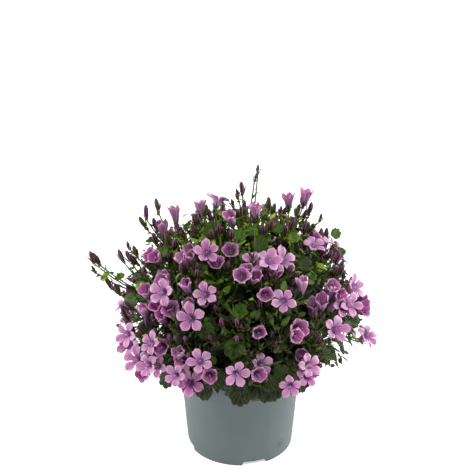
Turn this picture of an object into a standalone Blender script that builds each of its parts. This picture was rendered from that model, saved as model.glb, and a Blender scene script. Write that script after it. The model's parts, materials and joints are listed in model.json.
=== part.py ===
"""Potted bellflower: a nursery pot of compost, with leafy stems that carry sprays of pink bells.

Units are metres and +Z is up. The origin is the middle of the pot's underside, and the plant's best side
faces -Y. All stems spread from one point, the crown. Each stem and its spray keep to their own cone from
there, on their side of the planes halfway to the next stems, so no two stems or sprays cross.
"""
import math
import random

import bmesh
import bpy
import numpy as np

MM = 0.001
UP = np.array([0, 0, 1.0])
SIDEWAYS = np.array([1.0, 0, 0])
QUARTER_TURN = 90
SEED = 11

# Pot: a thin moulded shell on a foot ring
POT_HEIGHT = 90 * MM
POT_BASE_RADIUS = 51.2 * MM
POT_NECK_RADIUS = 57.8 * MM
POT_WALL = 1.4 * MM
POT_SIDES = 24
LIP_RADIUS = 60 * MM
LIP_HEIGHT = 8 * MM
LIP_ROUNDING = 0.8 * MM
FOOT_HEIGHT = 4.2 * MM
FOOT_WIDTH = 3.2 * MM
CENTRE_FOOT_RADIUS = 9 * MM
NOTCH_COUNT = 4
NOTCH_FIRST = -74
NOTCH_SPAN = 28
NOTCH_SLOPE = 1.6 * MM
DRAIN_COUNT = 6
DRAIN_RADIUS = 5 * MM
DRAIN_CIRCLE = 31 * MM
DRAIN_SIDES = 8
DRAIN_CUT = 12 * MM
SHARP_EDGE = math.radians(35)

# Compost: the root ball, clear of the pot
GAP = 0.3 * MM
SOIL_TOP = 83 * MM
SOIL_CROWN = 2.5 * MM
SOIL_SHOULDER = (0.6, 0.8)

# Stems
CROWN = np.array([0, 0, 102 * MM])
HUB_RADIUS = 38 * MM
STEM_RADIUS = 1.3 * MM
STEM_SIDES = 4
STEM_DEPTH = 7 * MM
HOLE_SIDES = 5
HOLE_RADIUS = 2 * MM
HOLE_SPARE = 1 * MM
HOLE_RISE = 10 * MM
FOOT_CIRCLE_MIN = 5 * MM
FOOT_CIRCLE_MAX = 25 * MM
LEAVE_SOIL_RUN = 0.6
ENTER_HUB_RUN = 12 * MM
STEM_SHARE = 0.6
SPRAY_SHARE = 0.8
FIRST_FORK = 0.25
FORK_SPAN = 0.65

# Dome of blooms, and the eye that the front sprays' places are seen from
DOME = np.array([122 * MM, 122 * MM, 141 * MM])
EYE = np.array([0, -1127 * MM, 761 * MM])
EYE_TILT = math.radians(25.6)

# Leafy cores: the dense inside of the bush, where each stem swells in its own cone
CORE_SIDES = 6
CORE_LEAN = 0.42
CORE_INNER = 0.38
CORE_OUTER = (0.53, 0.5, 0.47, 0.44, 0.41)
CORE_FEELERS = 9
CORE_FELT = 0.9
CORE_CLEAR = 0.5 * MM

# Blooms: tube ring, notch between lobes and tip, as radius and height. Open lobes have shoulders too, with
# the angle from the lobe's middle to them.
BELLS = {
    "star": ((4.0, 3.6), (5.6, 6.2), (13.0, 8.6)),
    "cup": ((4.6, 4.0), (7.4, 10.6), (9.2, 14.2)),
    "funnel": ((3.4, 5.0), (6.2, 11.6), (9.6, 16.0)),
}
SHOULDERS = {"star": (9.8, 8.3, 22)}
LOBES = 5
LOBE_HALF = 0.1
BELL_WALL = 0.7 * MM
BELL_FLOORS = {"star": 4.6 * MM, "cup": 2.2 * MM, "funnel": 2.2 * MM}
PEDICEL_RADIUS = 0.75 * MM
BUD_LENGTH = {"bud": 13 * MM, "budlet": 7 * MM}
BUD_RADIUS = {"bud": 2.2 * MM, "budlet": 1.5 * MM}
BUD_WIDEST = 0.45
BELL_TURN = 0.19
BELL_SIZES = (0.92, 1.08)
STALK_POINTS = 6
LIFTS = {"funnel": 1.6, "bud": 1.6, "budlet": 1.6}
LIFT = 0.25
EYE_PULL = 0.6
FACE_WOBBLE = 0.25
DEPTH_STEPS = (0, 6 * MM, -5 * MM, 12 * MM, 18 * MM)

# Leaves
LEAF_RADIUS = 8.4 * MM
LEAF_WALL = 0.8 * MM
LEAF_TOOTH_ANGLES = np.radians((126, 84, 42, 0, -42, -84, -126))
LEAF_TOOTH_REACHES = (1.0, 0.84, 1.02, 0.88, 1.02, 0.84, 1.0)
LEAF_NECK = 0.5
LEAF_CUP = 0.16
PETIOLE_HALF_WIDTH = 0.6 * MM
LEAF_LIFT = 0.5
EDGE_ON = 0.93
EDGE_TURN = 0.8
LEAF_LEAN = 0.3
LEAF_REACHES = (0.7, 0.86)
LEAF_SIZES = (0.85, 1.15)
LEAF_IN_VIEW_SIZE = 1.15
LEAF_RETREAT = 0.08
TOP_LEAF = 0.9
LEAF_STEP = 0.22

# How pieces keep clear of each other
CLEAR = 0.4 * MM
SPACING = 2.4 * MM
FEELERS = 16
BEND_STEPS = 60
BLOOM_TRIES = 4
HUB_SPARE = 1.3
NEARLY_ALONG = 0.95
RIM_REACH = 63.5 * MM
RIM_TOP = 92 * MM
SKIRT_RISE = 0.45
LEAVES_IN_VIEW_STEM = 1
LEAVES_BEHIND_STEM = 3
LEAF_TRIES = 14
GOLDEN_TURN = math.radians(137.5)
LEAF_DEPTH = 0.88

# Colours, linear, and roughness
GREEN = (0.07, 0.12, 0.03)
PINK = (0.55, 0.25, 0.42)
SLATE = (0.15, 0.19, 0.19)
PEAT = (0.03, 0.02, 0.012)
SATIN = 0.5
MATT = 0.65
DULL = 0.95

# The sprays in view. A place is across and up from the pot's foot, in mm, as the eye sees it.
SPRAYS_IN_VIEW = (
    (("star", -85, 97), ("star", -112, 101), ("cup", -72, 82), ("star", -104, 76), ("star", -84, 67),
     ("budlet", -122, 116), ("leaf", -76, 50, 0.8)),
    (("star", -41, 72), ("star", -64, 59), ("star", -50, 52), ("cup", -32, 58), ("leaf", -36, 46, 0.66),
     ("leaf", -58, 46, 0.76)),
    (("star", -9, 60), ("cup", 17, 60), ("star", 31, 70), ("budlet", 3, 88), ("leaf", -10, 42, 0.6),
     ("leaf", 19, 45, 0.62), ("leaf", -4, 87)),
    (("star", 66, 59), ("star", 51, 50), ("star", 76, 81), ("cup", 58, 80), ("leaf", 38, 47, 0.66),
     ("leaf", 60, 52, 0.78)),
    (("cup", 55, 101), ("cup", 64, 108), ("budlet", 36, 86), ("leaf", 40, 112)),
    (("cup", 17, 103), ("bud", -3, 97), ("bud", -18, 112), ("budlet", 8, 109), ("leaf", -33, 105)),
    (("star", 95, 105), ("budlet", 90, 94), ("budlet", 84, 90), ("leaf", 118, 104)),
    (("star", 112, 147), ("star", 110, 130), ("star", 122, 138), ("cup", 131, 127), ("cup", 86, 138),
     ("star", 100, 126)),
    (("star", 44, 135), ("cup", 23, 146), ("leaf", 60, 150)),
    (("star", 28, 173), ("cup", 8, 163), ("cup", -9, 161), ("bud", 50, 165), ("leaf", 60, 175)),
    (("star", 75, 201), ("star", 73, 189), ("bud", 90, 190), ("bud", 88, 180), ("bud", 100, 165),
     ("leaf", 94, 202)),
    (("star", -34, 182), ("cup", -22, 171), ("cup", 0, 183), ("bud", -52, 172), ("leaf", 1, 198)),
    (("star", -34, 140), ("star", -49, 116), ("budlet", -44, 152), ("budlet", -22, 141), ("leaf", -25, 150)),
    (("star", -64, 144), ("cup", -78, 156), ("cup", -69, 126), ("cup", -83, 128), ("bud", -118, 120),
     ("leaf", -74, 110)),
    (("cup", -89, 181), ("cup", -84, 168), ("bud", -107, 182), ("bud", -106, 172), ("leaf", -74, 183)),
    (("funnel", -78, 207), ("funnel", -65, 222), ("bud", -96, 213), ("bud", -95, 223), ("bud", -84, 229),
     ("leaf", -60, 200)),
    (("funnel", -43, 226), ("funnel", -8, 214), ("star", -13, 234), ("bud", -35, 224), ("budlet", -26, 231),
     ("leaf", -22, 212)),
    (("funnel", 17, 226), ("bud", 2, 247), ("budlet", -3, 242), ("bud", 29, 231), ("budlet", 15, 258),
     ("budlet", 18, 266), ("leaf", 30, 215)),
    (("funnel", 41, 238), ("funnel", 65, 239), ("bud", 70, 227), ("budlet", 80, 218), ("leaf", 50, 196)),
    (("bud", -149, 178), ("bud", -143, 176), ("budlet", -146, 166), ("bud", -111, 178), ("bud", -123, 146),
     ("leaf", -136, 157), ("leaf", -107, 132)),
)

# The sprays behind, as a compass angle from +X and an angle from straight up, in degrees
SPRAYS_BEHIND = ((8, 80), (44, 82), (80, 80), (116, 82), (152, 80), (30, 44), (75, 40), (118, 46))
# Their blooms and buds, as leans sideways and upwards from the spray's direction
BEHIND_PLACES = (("star", -0.26, 0.02), ("star", 0.25, 0.0), ("cup", -0.10, 0.24), ("bud", 0.16, 0.30),
                 ("star", 0.02, -0.20), ("cup", 0.22, 0.24))
BEHIND_JITTER = 0.06


def unit(vector):
    """The vector at length one."""
    return vector / np.linalg.norm(vector)


def on_dome(across, up, share):
    """The point of the dome, shrunk to a share, where the eye sees this place, or the nearest beside it."""
    seen = np.array([across, up * math.sin(EYE_TILT), up * math.cos(EYE_TILT)]) * MM
    ray = (seen - EYE) / (DOME * share)
    start = (EYE - CROWN) / (DOME * share)
    square, half, rest = ray @ ray, start @ ray, start @ start - 1
    reach = (-half - math.sqrt(max(half * half - square * rest, 0))) / square
    return EYE + reach * (seen - EYE)


def from_angles(compass, tilt):
    """The direction at this compass angle and this angle from straight up, in degrees."""
    compass, tilt = math.radians(compass), math.radians(tilt)
    return np.array([math.cos(compass) * math.sin(tilt), math.sin(compass) * math.sin(tilt), math.cos(tilt)])


def frame_on(axis):
    """Two unit vectors square to the axis and to each other, the first as near upright as it can be."""
    near = SIDEWAYS if abs(axis[2]) > NEARLY_ALONG else UP
    first = unit(near - (near @ axis) * axis)
    return first, np.cross(axis, first)


def plan_sprays(draw):
    """Every spray's direction from the crown, with the places of its blooms, buds and leaves."""
    sprays = []
    for pieces in SPRAYS_IN_VIEW:
        places = []
        for kind, across, up, *depth in pieces:
            share = depth[0] if depth else LEAF_DEPTH if kind == "leaf" else 1
            places.append((kind, on_dome(across, up, share)))
        middle = sum(unit(place - CROWN) for kind, place in places if kind != "leaf")
        sprays.append((unit(middle), places))
    for compass, tilt in SPRAYS_BEHIND:
        axis = from_angles(compass, tilt)
        upward, sideways = frame_on(axis)
        places = []
        for kind, side, lift in BEHIND_PLACES:
            side, lift = side + draw.uniform(-1, 1) * BEHIND_JITTER, lift + draw.uniform(0, 1) * BEHIND_JITTER
            places.append((kind, out_to_dome(axis + side * sideways + lift * upward, 1)))
        sprays.append((axis, places))
    return sprays


def out_to_dome(way, share):
    """The point of the dome, shrunk to a share, that lies this way from the crown."""
    return CROWN + way * share / np.linalg.norm(way / DOME)


def bend_clear(points, own, axes):
    """How far to shift points so that they lie inside their own cone and above the rim."""
    shift = np.zeros(3)
    for _ in range(BEND_STEPS):
        moved = points + shift
        worst, push = 0, None
        for other, axis in enumerate(axes):
            if other != own:
                normal = unit(axes[own] - axis)
                short = CLEAR - ((moved - CROWN) @ normal).min()
                if short > worst:
                    worst, push = short, normal
        low = moved[(np.hypot(moved[:, 0], moved[:, 1]) < RIM_REACH) & (moved[:, 2] < RIM_TOP)]
        if len(low) and RIM_TOP - low[:, 2].min() > worst:
            worst, push = RIM_TOP - low[:, 2].min(), UP
        if push is None:
            return shift
        shift = shift + push * worst
    return shift


def transport(path):
    """Tangents along a path, with a side vector carried along it without twist."""
    steps = np.diff(path, axis=0)
    tangents = [unit(steps[0])]
    tangents += [unit(unit(a) + unit(b)) for a, b in zip(steps[:-1], steps[1:])]
    tangents.append(unit(steps[-1]))
    side = frame_on(tangents[0])[0]
    sides = []
    for tangent in tangents:
        side = unit(side - (side @ tangent) * tangent)
        sides.append(side)
    return tangents, sides


def ring(centre, axis, side, radii, heights, turns):
    """Points round an axis, at given radii, heights and turns (one turn is 1)."""
    turns = np.asarray(turns, float)
    angles = 2 * math.pi * turns
    other = np.cross(axis, side)
    radii = np.broadcast_to(np.asarray(radii, float), turns.shape)
    heights = np.broadcast_to(np.asarray(heights, float), turns.shape)
    flat = np.outer(radii * np.cos(angles), side) + np.outer(radii * np.sin(angles), other)
    return centre + flat + np.outer(heights, axis), turns


def bridge(first, second, first_turns, second_turns):
    """Triangles between two rings of vertex numbers, each step on the ring whose next edge comes first."""
    faces, i, j = [], 0, 0
    count, total = len(first), len(second)
    while i < count or j < total:
        a = first_turns[i % count] + i // count + first_turns[(i + 1) % count] + (i + 1) // count
        b = second_turns[j % total] + j // total + second_turns[(j + 1) % total] + (j + 1) // total
        if j >= total or (i < count and a <= b):
            faces.append((first[i % count], first[(i + 1) % count], second[j % total]))
            i += 1
        else:
            faces.append((first[i % count], second[(j + 1) % total], second[j % total]))
            j += 1
    return faces


def loft(rings, pole=None):
    """A closed skin over rings, flat at its start, and drawn to a pole or flat at its end."""
    points, faces, numbers = [], [], []
    for spots, _ in rings:
        numbers.append(list(range(len(points), len(points) + len(spots))))
        points.extend(spots)
    for k in range(len(rings) - 1):
        faces += bridge(numbers[k], numbers[k + 1], rings[k][1], rings[k + 1][1])
    faces.append(tuple(reversed(numbers[0])))
    last = numbers[-1]
    if pole is None:
        faces.append(tuple(last))
    else:
        points.append(pole)
        faces += [(last[k], last[(k + 1) % len(last)], len(points) - 1) for k in range(len(last))]
    return np.array(points), faces


def stalk_rings(path, radius, sides):
    """Rings of a stalk along a path, and the side vector at its end."""
    tangents, sides_along = transport(path)
    turns = np.arange(sides) / sides
    rings = [ring(p, t, s, radius, 0, turns) for p, t, s in zip(path, tangents, sides_along)]
    return rings, sides_along[-1]


def lobe_marks(kind):
    """The turns, radii and heights of one lobe's corners, from its notch to just before the next."""
    _, notch, tip = BELLS[kind]
    marks = [(0, *notch), (LOBE_HALF, *tip)]
    if kind in SHOULDERS:
        radius, height, angle = SHOULDERS[kind]
        marks.insert(1, (LOBE_HALF - angle / 360, radius, height))
        marks.append((LOBE_HALF + angle / 360, radius, height))
    return np.array(marks).T


def bell(kind, path, facing, spin, size):
    """A five-lobed bell on its pedicel, as one closed skin: outside, rim and inside."""
    tube, tip = BELLS[kind][0], BELLS[kind][-1]
    rings, side = stalk_rings(path, PEDICEL_RADIUS, 3)
    side = unit(side - (side @ facing) * facing)
    base = path[-1]
    lobes = np.arange(LOBES)[:, None] / LOBES + spin
    turns, radii, heights = lobe_marks(kind)
    rim_turns = (lobes + turns).ravel()
    rim_radii = np.tile(radii, LOBES) * MM * size
    rim_heights = np.tile(heights, LOBES) * MM * size
    slope = unit(np.array([tip[0] - tube[0], tip[1] - tube[1]]))
    inward, upward = -slope[1] * BELL_WALL, slope[0] * BELL_WALL
    tube_radius, tube_height = tube[0] * MM * size, tube[1] * MM * size
    rings.append(ring(base, facing, side, tube_radius, tube_height, lobes.ravel()))
    rings.append(ring(base, facing, side, rim_radii, rim_heights, rim_turns))
    rings.append(ring(base, facing, side, rim_radii + inward, rim_heights + upward, rim_turns))
    return loft(rings, pole=base + facing * BELL_FLOORS[kind])


def bud(kind, path, facing):
    """A closed bud on its pedicel: a stalk that swells and comes to a point."""
    rings, side = stalk_rings(path, PEDICEL_RADIUS, 3)
    side = unit(side - (side @ facing) * facing)
    length = BUD_LENGTH[kind]
    rings.append(ring(path[-1], facing, side, BUD_RADIUS[kind], BUD_WIDEST * length, np.arange(4) / 4))
    return loft(rings, pole=path[-1] + facing * length)


def leaf(root, centre, normal, size):
    """A toothed heart-shaped leaf with its stalk, the same triangles above and below."""
    along = centre - root
    ahead = unit(along - (along @ normal) * normal)
    across = np.cross(normal, ahead)
    radius = LEAF_RADIUS * size
    outline = []
    for angle, reach in zip(LEAF_TOOTH_ANGLES, LEAF_TOOTH_REACHES):
        outline.append(centre + radius * reach * (math.cos(angle) * ahead + math.sin(angle) * across))
    neck = centre - LEAF_NECK * radius * ahead
    outline += [neck - PETIOLE_HALF_WIDTH * across, root - PETIOLE_HALF_WIDTH * across]
    outline += [root + PETIOLE_HALF_WIDTH * across, neck + PETIOLE_HALF_WIDTH * across]
    count = len(outline)
    top = outline + [centre - LEAF_CUP * radius * normal]
    points = np.array([p + LEAF_WALL * normal for p in top] + top)
    faces = []
    for k in range(count):
        after = (k + 1) % count
        faces.append((k, after, count))
        faces.append((count + 1 + after, count + 1 + k, 2 * count + 1))
        faces.append((k, count + 1 + k, count + 1 + after))
        faces.append((k, count + 1 + after, after))
    return points, faces


def make_object(name, points, faces):
    """A mesh object from points and faces, with its faces turned outwards."""
    mesh = bpy.data.meshes.new(name)
    mesh.from_pydata([tuple(p) for p in points], [], faces)
    shape = bmesh.new()
    shape.from_mesh(mesh)
    bmesh.ops.recalc_face_normals(shape, faces=shape.faces)
    shape.to_mesh(mesh)
    shape.free()
    item = bpy.data.objects.new(name, mesh)
    bpy.context.scene.collection.objects.link(item)
    return item


def combine(item, others, operation="UNION"):
    """Joins or cuts an object with others by one Boolean, applied, and removes the others."""
    group = bpy.data.collections.new("repeats")
    bpy.context.scene.collection.children.link(group)
    for other in others:
        bpy.context.scene.collection.objects.unlink(other)
        group.objects.link(other)
    modifier = item.modifiers.new("join", "BOOLEAN")
    modifier.operation = operation
    modifier.operand_type = "COLLECTION"
    modifier.collection = group
    modifier.solver = "EXACT"
    ready = item.evaluated_get(bpy.context.evaluated_depsgraph_get())
    mesh = bpy.data.meshes.new_from_object(ready)
    item.modifiers.clear()
    item.data = mesh
    for other in list(group.objects):
        bpy.data.objects.remove(other)
    bpy.data.collections.remove(group)


def material(name, colour, roughness):
    """A plain material of one colour."""
    finish = bpy.data.materials.new(name)
    finish.use_nodes = True
    shader = finish.node_tree.nodes["Principled BSDF"]
    shader.inputs["Base Color"].default_value = (*colour, 1)
    shader.inputs["Roughness"].default_value = roughness
    shader.inputs["Metallic"].default_value = 0
    return finish


def dress(item, name, finish):
    """Names an object and gives it its one material."""
    item.name = name
    item.data.name = name
    item.data.materials.clear()
    item.data.materials.append(finish)


def turned(name, profile):
    """A closed body turned from a profile of radius and height that starts and ends on the axis."""
    points, faces = [], []
    rows = []
    for radius, height in profile:
        if radius == 0:
            rows.append([len(points)])
            points.append((0, 0, height))
        else:
            rows.append(list(range(len(points), len(points) + POT_SIDES)))
            for k in range(POT_SIDES):
                angle = 2 * math.pi * k / POT_SIDES
                points.append((radius * math.cos(angle), radius * math.sin(angle), height))
    for first, second in zip(rows, rows[1:]):
        for k in range(POT_SIDES):
            after = (k + 1) % POT_SIDES
            corners = [first[k % len(first)], first[after % len(first)],
                       second[after % len(second)], second[k % len(second)]]
            faces.append(tuple(dict.fromkeys(corners)))
    return make_object(name, points, faces)


def prism(name, outline, low, high):
    """An upright prism over a flat outline."""
    count = len(outline)
    points = [(x, y, low) for x, y in outline] + [(x, y, high) for x, y in outline]
    faces = [tuple(range(count))[::-1], tuple(range(count, 2 * count))]
    faces += [(k, (k + 1) % count, count + (k + 1) % count, count + k) for k in range(count)]
    return make_object(name, points, faces)


def circle(centre_x, centre_y, radius, sides):
    """Points round a circle."""
    angles = [2 * math.pi * k / sides for k in range(sides)]
    return [(centre_x + radius * math.cos(a), centre_y + radius * math.sin(a)) for a in angles]


def wall_radius(height):
    """The pot's outer radius at a height below its lip."""
    share = height / (POT_HEIGHT - LIP_HEIGHT)
    return POT_BASE_RADIUS + (POT_NECK_RADIUS - POT_BASE_RADIUS) * share


def make_pot():
    """The pot: shell, lip, foot ring with notches, floor with drain holes, and central foot."""
    floor = FOOT_HEIGHT + POT_WALL
    below_lip = POT_HEIGHT - LIP_HEIGHT
    mouth = LIP_RADIUS - 2 * POT_WALL
    profile = [
        (0, 0), (CENTRE_FOOT_RADIUS, 0), (CENTRE_FOOT_RADIUS, FOOT_HEIGHT),
        (wall_radius(FOOT_HEIGHT) - FOOT_WIDTH, FOOT_HEIGHT), (wall_radius(0) - FOOT_WIDTH, 0),
        (wall_radius(0), 0), (POT_NECK_RADIUS, below_lip), (LIP_RADIUS, below_lip + LIP_ROUNDING),
        (LIP_RADIUS, POT_HEIGHT - LIP_ROUNDING),
        (LIP_RADIUS - LIP_ROUNDING, POT_HEIGHT), (mouth, POT_HEIGHT), (POT_NECK_RADIUS - POT_WALL, below_lip),
        (wall_radius(floor) - POT_WALL, floor), (0, floor),
    ]
    pot = turned("pot", profile)
    cutters = []
    for k in range(NOTCH_COUNT):
        cutters.append(notch_cutter(math.radians(NOTCH_FIRST + 360 * k / NOTCH_COUNT)))
    for k in range(DRAIN_COUNT):
        angle = 2 * math.pi * k / DRAIN_COUNT
        across, along = DRAIN_CIRCLE * math.cos(angle), DRAIN_CIRCLE * math.sin(angle)
        outline = circle(across, along, DRAIN_RADIUS, DRAIN_SIDES)
        cutters.append(prism("drain", outline, 0, DRAIN_CUT))
    combine(pot, cutters, "DIFFERENCE")
    pot.data.shade_smooth()
    pot.data.set_sharp_from_angle(angle=SHARP_EDGE)
    dress(pot, "pot", material("slate plastic", SLATE, MATT))


def notch_cutter(angle):
    """A wedge through the foot ring, wider below than above."""
    half = math.radians(NOTCH_SPAN / 2)
    inner = POT_BASE_RADIUS - 2 * FOOT_WIDTH
    outer = POT_BASE_RADIUS + FOOT_WIDTH
    points = []
    for height, trim in ((-MM, 0), (FOOT_HEIGHT, NOTCH_SLOPE)):
        for radius, sign in ((inner, -1), (outer, -1), (outer, 1), (inner, 1)):
            turn = angle + sign * (half - trim / POT_BASE_RADIUS)
            points.append((radius * math.cos(turn), radius * math.sin(turn), height))
    faces = [(3, 2, 1, 0), (4, 5, 6, 7), (0, 1, 5, 4), (1, 2, 6, 5), (2, 3, 7, 6), (3, 0, 4, 7)]
    return make_object("notch", points, faces)


def make_soil(feet):
    """The root ball inside the pot, with a blind hole for each stem."""
    low = FOOT_HEIGHT + POT_WALL + GAP
    inset = POT_WALL + GAP
    soil = turned("compost", [
        (0, low), (wall_radius(low) - inset - GAP, low), (wall_radius(SOIL_TOP) - inset - GAP, SOIL_TOP),
        (SOIL_SHOULDER[0] * wall_radius(SOIL_TOP), SOIL_TOP + SOIL_SHOULDER[1] * SOIL_CROWN),
        (0, SOIL_TOP + SOIL_CROWN),
    ])
    cutters = []
    for foot in feet:
        outline = circle(foot[0], foot[1], HOLE_RADIUS, HOLE_SIDES)
        cutters.append(prism("hole", outline, foot[2] - HOLE_SPARE, SOIL_TOP + HOLE_RISE))
    combine(soil, cutters, "DIFFERENCE")
    dress(soil, "compost", material("peat compost", PEAT, DULL))


def stem_path(axis, length):
    """A stem from its foot in the compost, up and out through the hub, to its top."""
    tilt = math.degrees(math.acos(axis[2]))
    flat = unit(np.array([axis[0], axis[1], 0]))
    foot_radius = FOOT_CIRCLE_MIN + (FOOT_CIRCLE_MAX - FOOT_CIRCLE_MIN) * tilt / QUARTER_TURN
    foot = flat * foot_radius + UP * (SOIL_TOP - STEM_DEPTH + SOIL_CROWN)
    neck = foot + UP * (STEM_DEPTH + MM)
    hub = CROWN + HUB_RADIUS * axis
    above = neck + UP * LEAVE_SOIL_RUN * np.linalg.norm(hub - neck)
    before = hub - axis * ENTER_HUB_RUN
    middle = (neck + above + before + hub) / 4
    return np.array([foot, neck, middle, hub, CROWN + length * axis])


def make_plant(plan):
    """All stems with their leaves, and all sprays with their blooms and buds."""
    draw = random.Random(SEED)
    axes = [axis for axis, _ in plan]
    green = material("stem and leaf green", GREEN, SATIN)
    pink = material("petal pink", PINK, SATIN)
    feet = []
    for own, (axis, places) in enumerate(plan):
        number = f"{own + 1:02d}"
        blooms = [(kind, place) for kind, place in places if kind != "leaf"]
        reach = min(np.linalg.norm(place - CROWN) for kind, place in blooms)
        length = STEM_SHARE * reach
        path = stem_path(axis, length)
        feet.append(path[0])
        spray, samples = make_spray(own, axes, blooms, length, SPRAY_SHARE * reach, draw)
        dress(spray, "spray_" + number, pink)
        stem = make_stem(own, axes, path, places, samples, draw)
        dress(stem, "stem_" + number, green)
    return feet


def make_spray(own, axes, blooms, start, end, draw):
    """One spray: a stalk with a bell or bud at the end of each pedicel, joined into one body."""
    axis = axes[own]
    low, high = CROWN + (start + GAP) * axis, CROWN + end * axis
    rings, _ = stalk_rings(np.array([low, 0.5 * (low + high), high]), STEM_RADIUS, STEM_SIDES)
    stalk = make_object("spray", *loft(rings))
    parts, samples = [], [between(low, high)]
    for order, (kind, place) in enumerate(blooms):
        root = low + (high - low) * (FIRST_FORK + FORK_SPAN * (order + 1) / (len(blooms) + 1))
        shape, base = fit_bloom(own, axes, kind, place, root, np.concatenate(samples), draw)
        parts.append(make_object("bloom", *shape))
        samples += [shape[0], between(root, base)]
    combine(stalk, parts)
    return stalk, np.concatenate(samples)


def face_out(kind, place, draw):
    """The way a bloom faces: out from the dome, towards the eye where it is in view, and up."""
    out = unit((place - CROWN) / DOME ** 2)
    toward = EYE_PULL * unit(EYE - place) if place[1] < 0 else 0
    wobble = np.array([draw.uniform(-1, 1) for _ in range(3)])
    return unit(out + toward + FACE_WOBBLE * wobble + LIFTS.get(kind, LIFT) * UP)


def fit_bloom(own, axes, kind, place, root, samples, draw):
    """A bell or bud at its place, or a little nearer or further in where that crowds the others less."""
    facing = face_out(kind, place, draw)
    spin, size = draw.uniform(0, BELL_TURN), draw.uniform(*BELL_SIZES)
    away = unit(place - EYE) if place[1] < 0 else -unit(place - CROWN)
    is_bud = kind in BUD_LENGTH
    depth = 0.5 * BUD_LENGTH[kind] if is_bud else BELLS[kind][1][1] * MM * size
    best = (-1, None, None)
    for step in DEPTH_STEPS:
        base = place + step * away - facing * depth
        for _ in range(BLOOM_TRIES):
            path = np.array([root, base])
            shape = bud(kind, path, facing) if is_bud else bell(kind, path, facing, spin, size)
            shift = bend_clear(shape[0][STALK_POINTS:], own, axes)
            if not shift.any():
                break
            base = base + shift
        blades = np.concatenate([shape[0][STALK_POINTS:], 0.5 * (shape[0][STALK_POINTS:] + base)])
        gap = np.linalg.norm(blades[:, None] - samples[None], axis=2).min()
        if gap > best[0]:
            best = (gap, shape, base)
        if gap > SPACING:
            break
    return best[1], best[2]


def between(start, end):
    """Points from start to end, close enough to feel for what comes near."""
    return start + (end - start) * np.linspace(0, 1, FEELERS)[:, None]


def leaf_wishes(own, places, draw):
    """Where this stem's leaves would best be, and how large: those in view, then some round its axis."""
    wishes = [(place, LEAF_IN_VIEW_SIZE) for kind, place in places if kind == "leaf"]
    more = LEAVES_IN_VIEW_STEM if own < len(SPRAYS_IN_VIEW) else LEAVES_BEHIND_STEM
    for _ in range(more):
        wishes.append((None, draw.uniform(*LEAF_SIZES)))
    return wishes


def core_reach(way, lean, normals):
    """How far a core may lean from its stem: up to the planes of its cone, and to the height of the rim."""
    spare = CORE_CLEAR / (CORE_INNER * DOME[0])
    drop = (CROWN[2] - RIM_TOP) / (CORE_OUTER[0] * DOME[0])
    reach = CORE_LEAN
    for normal, offset in [(normal, -spare) for normal in normals] + [(UP, drop)]:
        if lean @ normal < 0:
            reach = min(reach, (way @ normal + offset) / -(lean @ normal))
    return reach


def core_rings(own, axes, side, outer):
    """The rings where a stem swells: the leaves that are too deep inside the bush to tell apart."""
    axis = axes[own]
    normals = [unit(axis - other) for other in axes if other is not axis]
    turns = np.arange(CORE_SIDES) / CORE_SIDES
    ways = []
    for turn in turns:
        angle = 2 * math.pi * turn
        lean = math.cos(angle) * side + math.sin(angle) * np.cross(axis, side)
        ways.append(unit(axis + core_reach(axis, lean, normals) * lean))
    return [(np.array([out_to_dome(way, share) for way in ways]), turns) for share in (CORE_INNER, outer)]


def fit_core(own, axes, side, top, samples):
    """The largest core that keeps clear of the blooms."""
    shares = np.linspace(0, CORE_FELT, CORE_FEELERS)[:, None, None, None]
    for outer in CORE_OUTER:
        rings = core_rings(own, axes, side, outer)
        rim = rings[1][0]
        edges = rim + np.swapaxes(shares, 0, 1) * (np.roll(rim, 1, axis=0) - rim)
        feelers = (edges + shares * (top - edges)).reshape(-1, 3)
        if np.linalg.norm(feelers[:, None] - samples[None], axis=2).min() > SPACING:
            break
    return rings


def make_stem(own, axes, path, places, samples, draw):
    """One stem with its leafy core and its leaves, joined into one body."""
    rings, side = stalk_rings(path, STEM_RADIUS, STEM_SIDES)
    rings[-1:-1] = fit_core(own, axes, side, path[-1], samples)
    stem = make_object("stem", *loft(rings))
    axis, hub, top = axes[own], path[-2], path[-1]
    upward, sideways = frame_on(axis)
    parts = []
    turn = draw.uniform(0, 2 * math.pi)
    for order, (wish, size) in enumerate(leaf_wishes(own, places, draw)):
        root = hub + (top - hub) * (TOP_LEAF - LEAF_STEP * order)
        for attempt in range(LEAF_TRIES):
            if wish is not None and attempt < LEAF_TRIES / 2:
                centre = wish + (root - wish) * LEAF_RETREAT * attempt
            else:
                turn += GOLDEN_TURN
                lean = LEAF_LEAN * (math.cos(turn) * upward + math.sin(turn) * sideways)
                centre = out_to_dome(axis + lean, draw.uniform(*LEAF_REACHES))
            normal = unit(unit(centre - CROWN) + LEAF_LIFT * UP)
            if abs(unit(centre - root) @ normal) > EDGE_ON:
                normal = unit(normal + EDGE_TURN * sideways)
            centre = centre + bend_clear(leaf(root, centre, normal, size)[0], own, axes)
            shape = leaf(root, centre, normal, size)
            if leaf_fits(shape[0], root, centre, own, axes, samples):
                parts.append(make_object("leaf", *shape))
                samples = np.concatenate([samples, shape[0], between(root, centre)[4:]])
                break
    combine(stem, parts)
    return stem


def under_skirt(point):
    """Whether a point hangs below the bush's lower edge, which rises outwards from the rim."""
    return point[2] < RIM_TOP + SKIRT_RISE * (math.hypot(point[0], point[1]) - RIM_REACH)


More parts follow.
